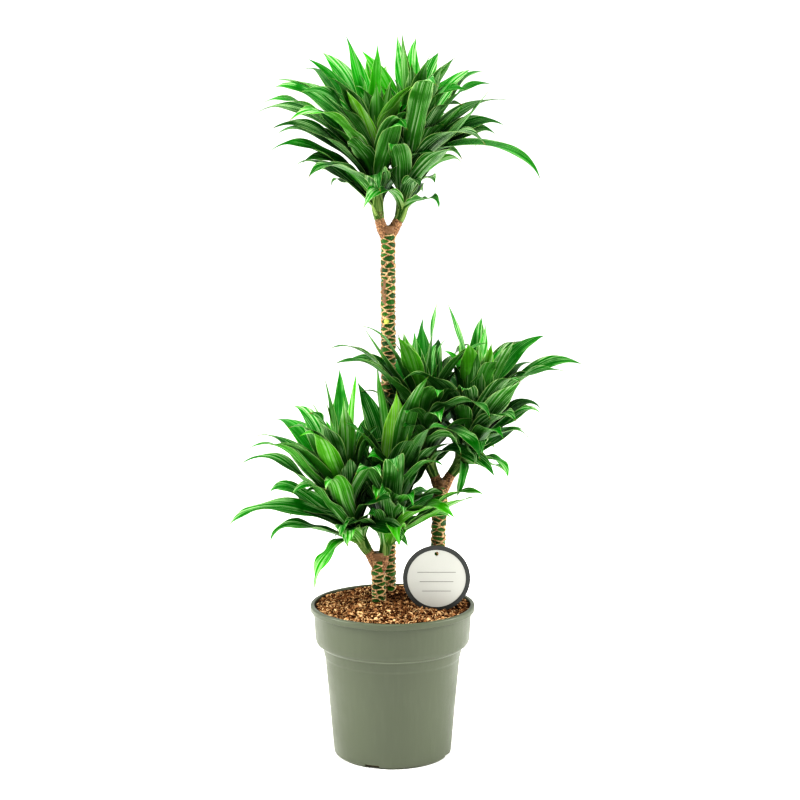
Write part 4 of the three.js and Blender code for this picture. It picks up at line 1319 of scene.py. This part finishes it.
def build_tier(shoot, tier, route, spacing, paints):
    """The leaves of one tier of a shoot, in the places the frame gives them."""
    node = f"{shoot}_leaves_{tier}"
    rng = random.Random(node)
    leaves = [finish_leaf(leaf, rng, tier) for leaf in read_leaves(node)]
    for number, leaf in enumerate(leaves):
        leaf["tone"] = LEAF_TONES.get(shoot, {}).get((tier, number), leaf["tone"])
        kept = SHORT_LEAVES.get(shoot, {}).get((tier, number), 1)
        foot = leaf["controls"][0]
        leaf["controls"] = [foot + (point - foot) * kept for point in leaf["controls"]]
    build_leaves(f"{shoot}_foliage_{tier}", leaves, route, spacing, paints, [node])


def build_extra_leaves(shoot, route, spacing, paints):
    """The leaves that fill a crown between its tiers and at its front, and the new ones in its heart."""
    rng = random.Random(f"{shoot} extra")
    fillers = spiral_leaves(FILLERS, shoot, route, rng)
    hearts = spiral_leaves(HEARTS, shoot, route, rng)
    fillers += front_leaves(shoot, route, rng)
    build_leaves(f"{shoot}_inner_foliage", fillers, route, spacing, paints, [])
    build_leaves(f"{shoot}_heart", hearts, route, spacing, paints, [])


# ---- Label ----

def slab(bm, outline, depth, hole=None):
    """Adds a flat slab to bm: an outline in X and Z, with an optional round hole, given a depth along Y."""
    edges = []
    for loop in [outline] + ([hole] if hole else []):
        corners = [bm.verts.new((x, -depth / 2, z)) for x, z in loop]
        edges += [bm.edges.new((a, b)) for a, b in zip(corners, corners[1:] + corners[:1])]
    filled = bmesh.ops.triangle_fill(bm, use_beauty=True, edges=edges)
    faces = [item for item in filled["geom"] if isinstance(item, bmesh.types.BMFace)]
    grown = bmesh.ops.extrude_face_region(bm, geom=faces)
    moved = [item for item in grown["geom"] if isinstance(item, bmesh.types.BMVert)]
    bmesh.ops.translate(bm, vec=(0, depth, 0), verts=moved)


def label_parts():
    """The label's slabs, each as its outline, depth, hole and the number of its paint."""
    radius, sides, thickness = LABEL["radius"], LABEL["sides"], LABEL["thickness"]
    half, top = LABEL["stake_width"] / 2, -radius + LABEL["stake_overlap"]
    shoulder = -radius - LABEL["stake_length"] + LABEL["stake_point"]
    point = (0, shoulder - LABEL["stake_point"])
    stake = [(-half, top), (-half, shoulder), point, (half, shoulder), (half, top)]
    hole_height = radius - LABEL["hole_drop"]
    hole = [(x, z + hole_height) for x, z in circle(LABEL["hole"], LABEL["hole_sides"])]
    parts = [
        (circle(radius - LABEL["face_inset"], sides), thickness, hole, 0),
        (circle(radius, sides), LABEL["rim_thickness"], circle(radius - LABEL["rim"], sides), 1),
        (stake, thickness, None, 1),
    ]
    for height, reach in LABEL_LINES:
        low, high = height - LABEL["line_half_height"], height + LABEL["line_half_height"]
        line = [(-reach, low), (reach, low), (reach, high), (-reach, high)]
        parts.append((line, thickness + LABEL["line_rise"], None, 2))
    return parts


def build_label(paints):
    """A plain round label on a stake, with a dark rim, a small hole and blank lines to write on."""
    bm = bmesh.new()
    for outline, depth, hole, paint in label_parts():
        first = len(bm.faces)
        slab(bm, outline, depth, hole)
        bm.faces.ensure_lookup_table()
        for face in bm.faces[first:]:
            face.material_index = paint
    bmesh.ops.recalc_face_normals(bm, faces=bm.faces)
    mesh = mesh_from(bm, "round_label")
    for paint in paints:
        mesh.materials.append(paint)
    mesh.transform(Matrix.Translation(LABEL["centre"]))
    place(make_object("round_label", mesh), ["plant_label"])


# ---- Studio ----

def build_floor():
    bm = bmesh.new()
    bmesh.ops.create_grid(bm, x_segments=1, y_segments=1, size=FLOOR_SIZE / 2)
    floor = make_object("floor", mesh_from(bm, "floor"))
    paint = plain_paint("floor_paint", FLOOR_COLOUR, FLOOR_COLOUR, FLOOR_ROUGHNESS, FLOOR_GRAIN)
    floor.data.materials.append(paint)


def build_studio():
    """Camera at the photograph's angle, a bright plain world and three soft lights."""
    scene = bpy.context.scene
    camera = make_object("camera", bpy.data.cameras.new("camera"))
    camera.location = CAMERA_PLACE
    camera.rotation_euler = (math.radians(90 + CAMERA_PITCH), 0, 0)
    camera.data.lens = CAMERA_LENS
    scene.camera = camera
    scene.view_settings.view_transform = "Standard"
    scene.view_settings.look = "High Contrast"
    world = bpy.data.worlds.new("studio")
    world.use_nodes = True
    background = world.node_tree.nodes["Background"]
    background.inputs["Color"].default_value = (*BACKGROUND, 1)
    background.inputs["Strength"].default_value = BACKGROUND_STRENGTH
    scene.world = world
    for light in LIGHTS:
        lamp = make_object(light["name"], bpy.data.lights.new(light["name"], "AREA"))
        lamp.data.energy = light["power"]
        lamp.data.color = LIGHT_COLOUR
        lamp.data.size = light["size"]
        lamp.location = light["place"]
        aim = Vector(LIGHT_TARGET) - Vector(light["place"])
        lamp.rotation_euler = aim.to_track_quat("-Z", "Y").to_euler()


# ---- The plant ----

def build_plant():
    build_pot(pot_paint())
    build_soil(soil_paint())
    bark = cane_paint()
    for name, cane in CANES.items():
        build_cane(name, cane, bark)
    stem_paint = shoot_paint()
    leaf_paints = [leaf_paint(name, **side) for name, side in LEAF_SIDES.items()]
    for name, shoot in SHOOTS.items():
        route, travelled = route_points(shoot["route"])
        spacing = travelled[1]
        build_shoot(name, route, travelled, stem_paint)
        for tier in range(1, TIERS + 1):
            build_tier(name, tier, route, spacing, leaf_paints)
        build_extra_leaves(name, route, spacing, leaf_paints)
    build_label([plain_paint(name, **colours) for name, colours in LABEL_COLOURS.items()])


build_studio()
build_floor()
build_plant()
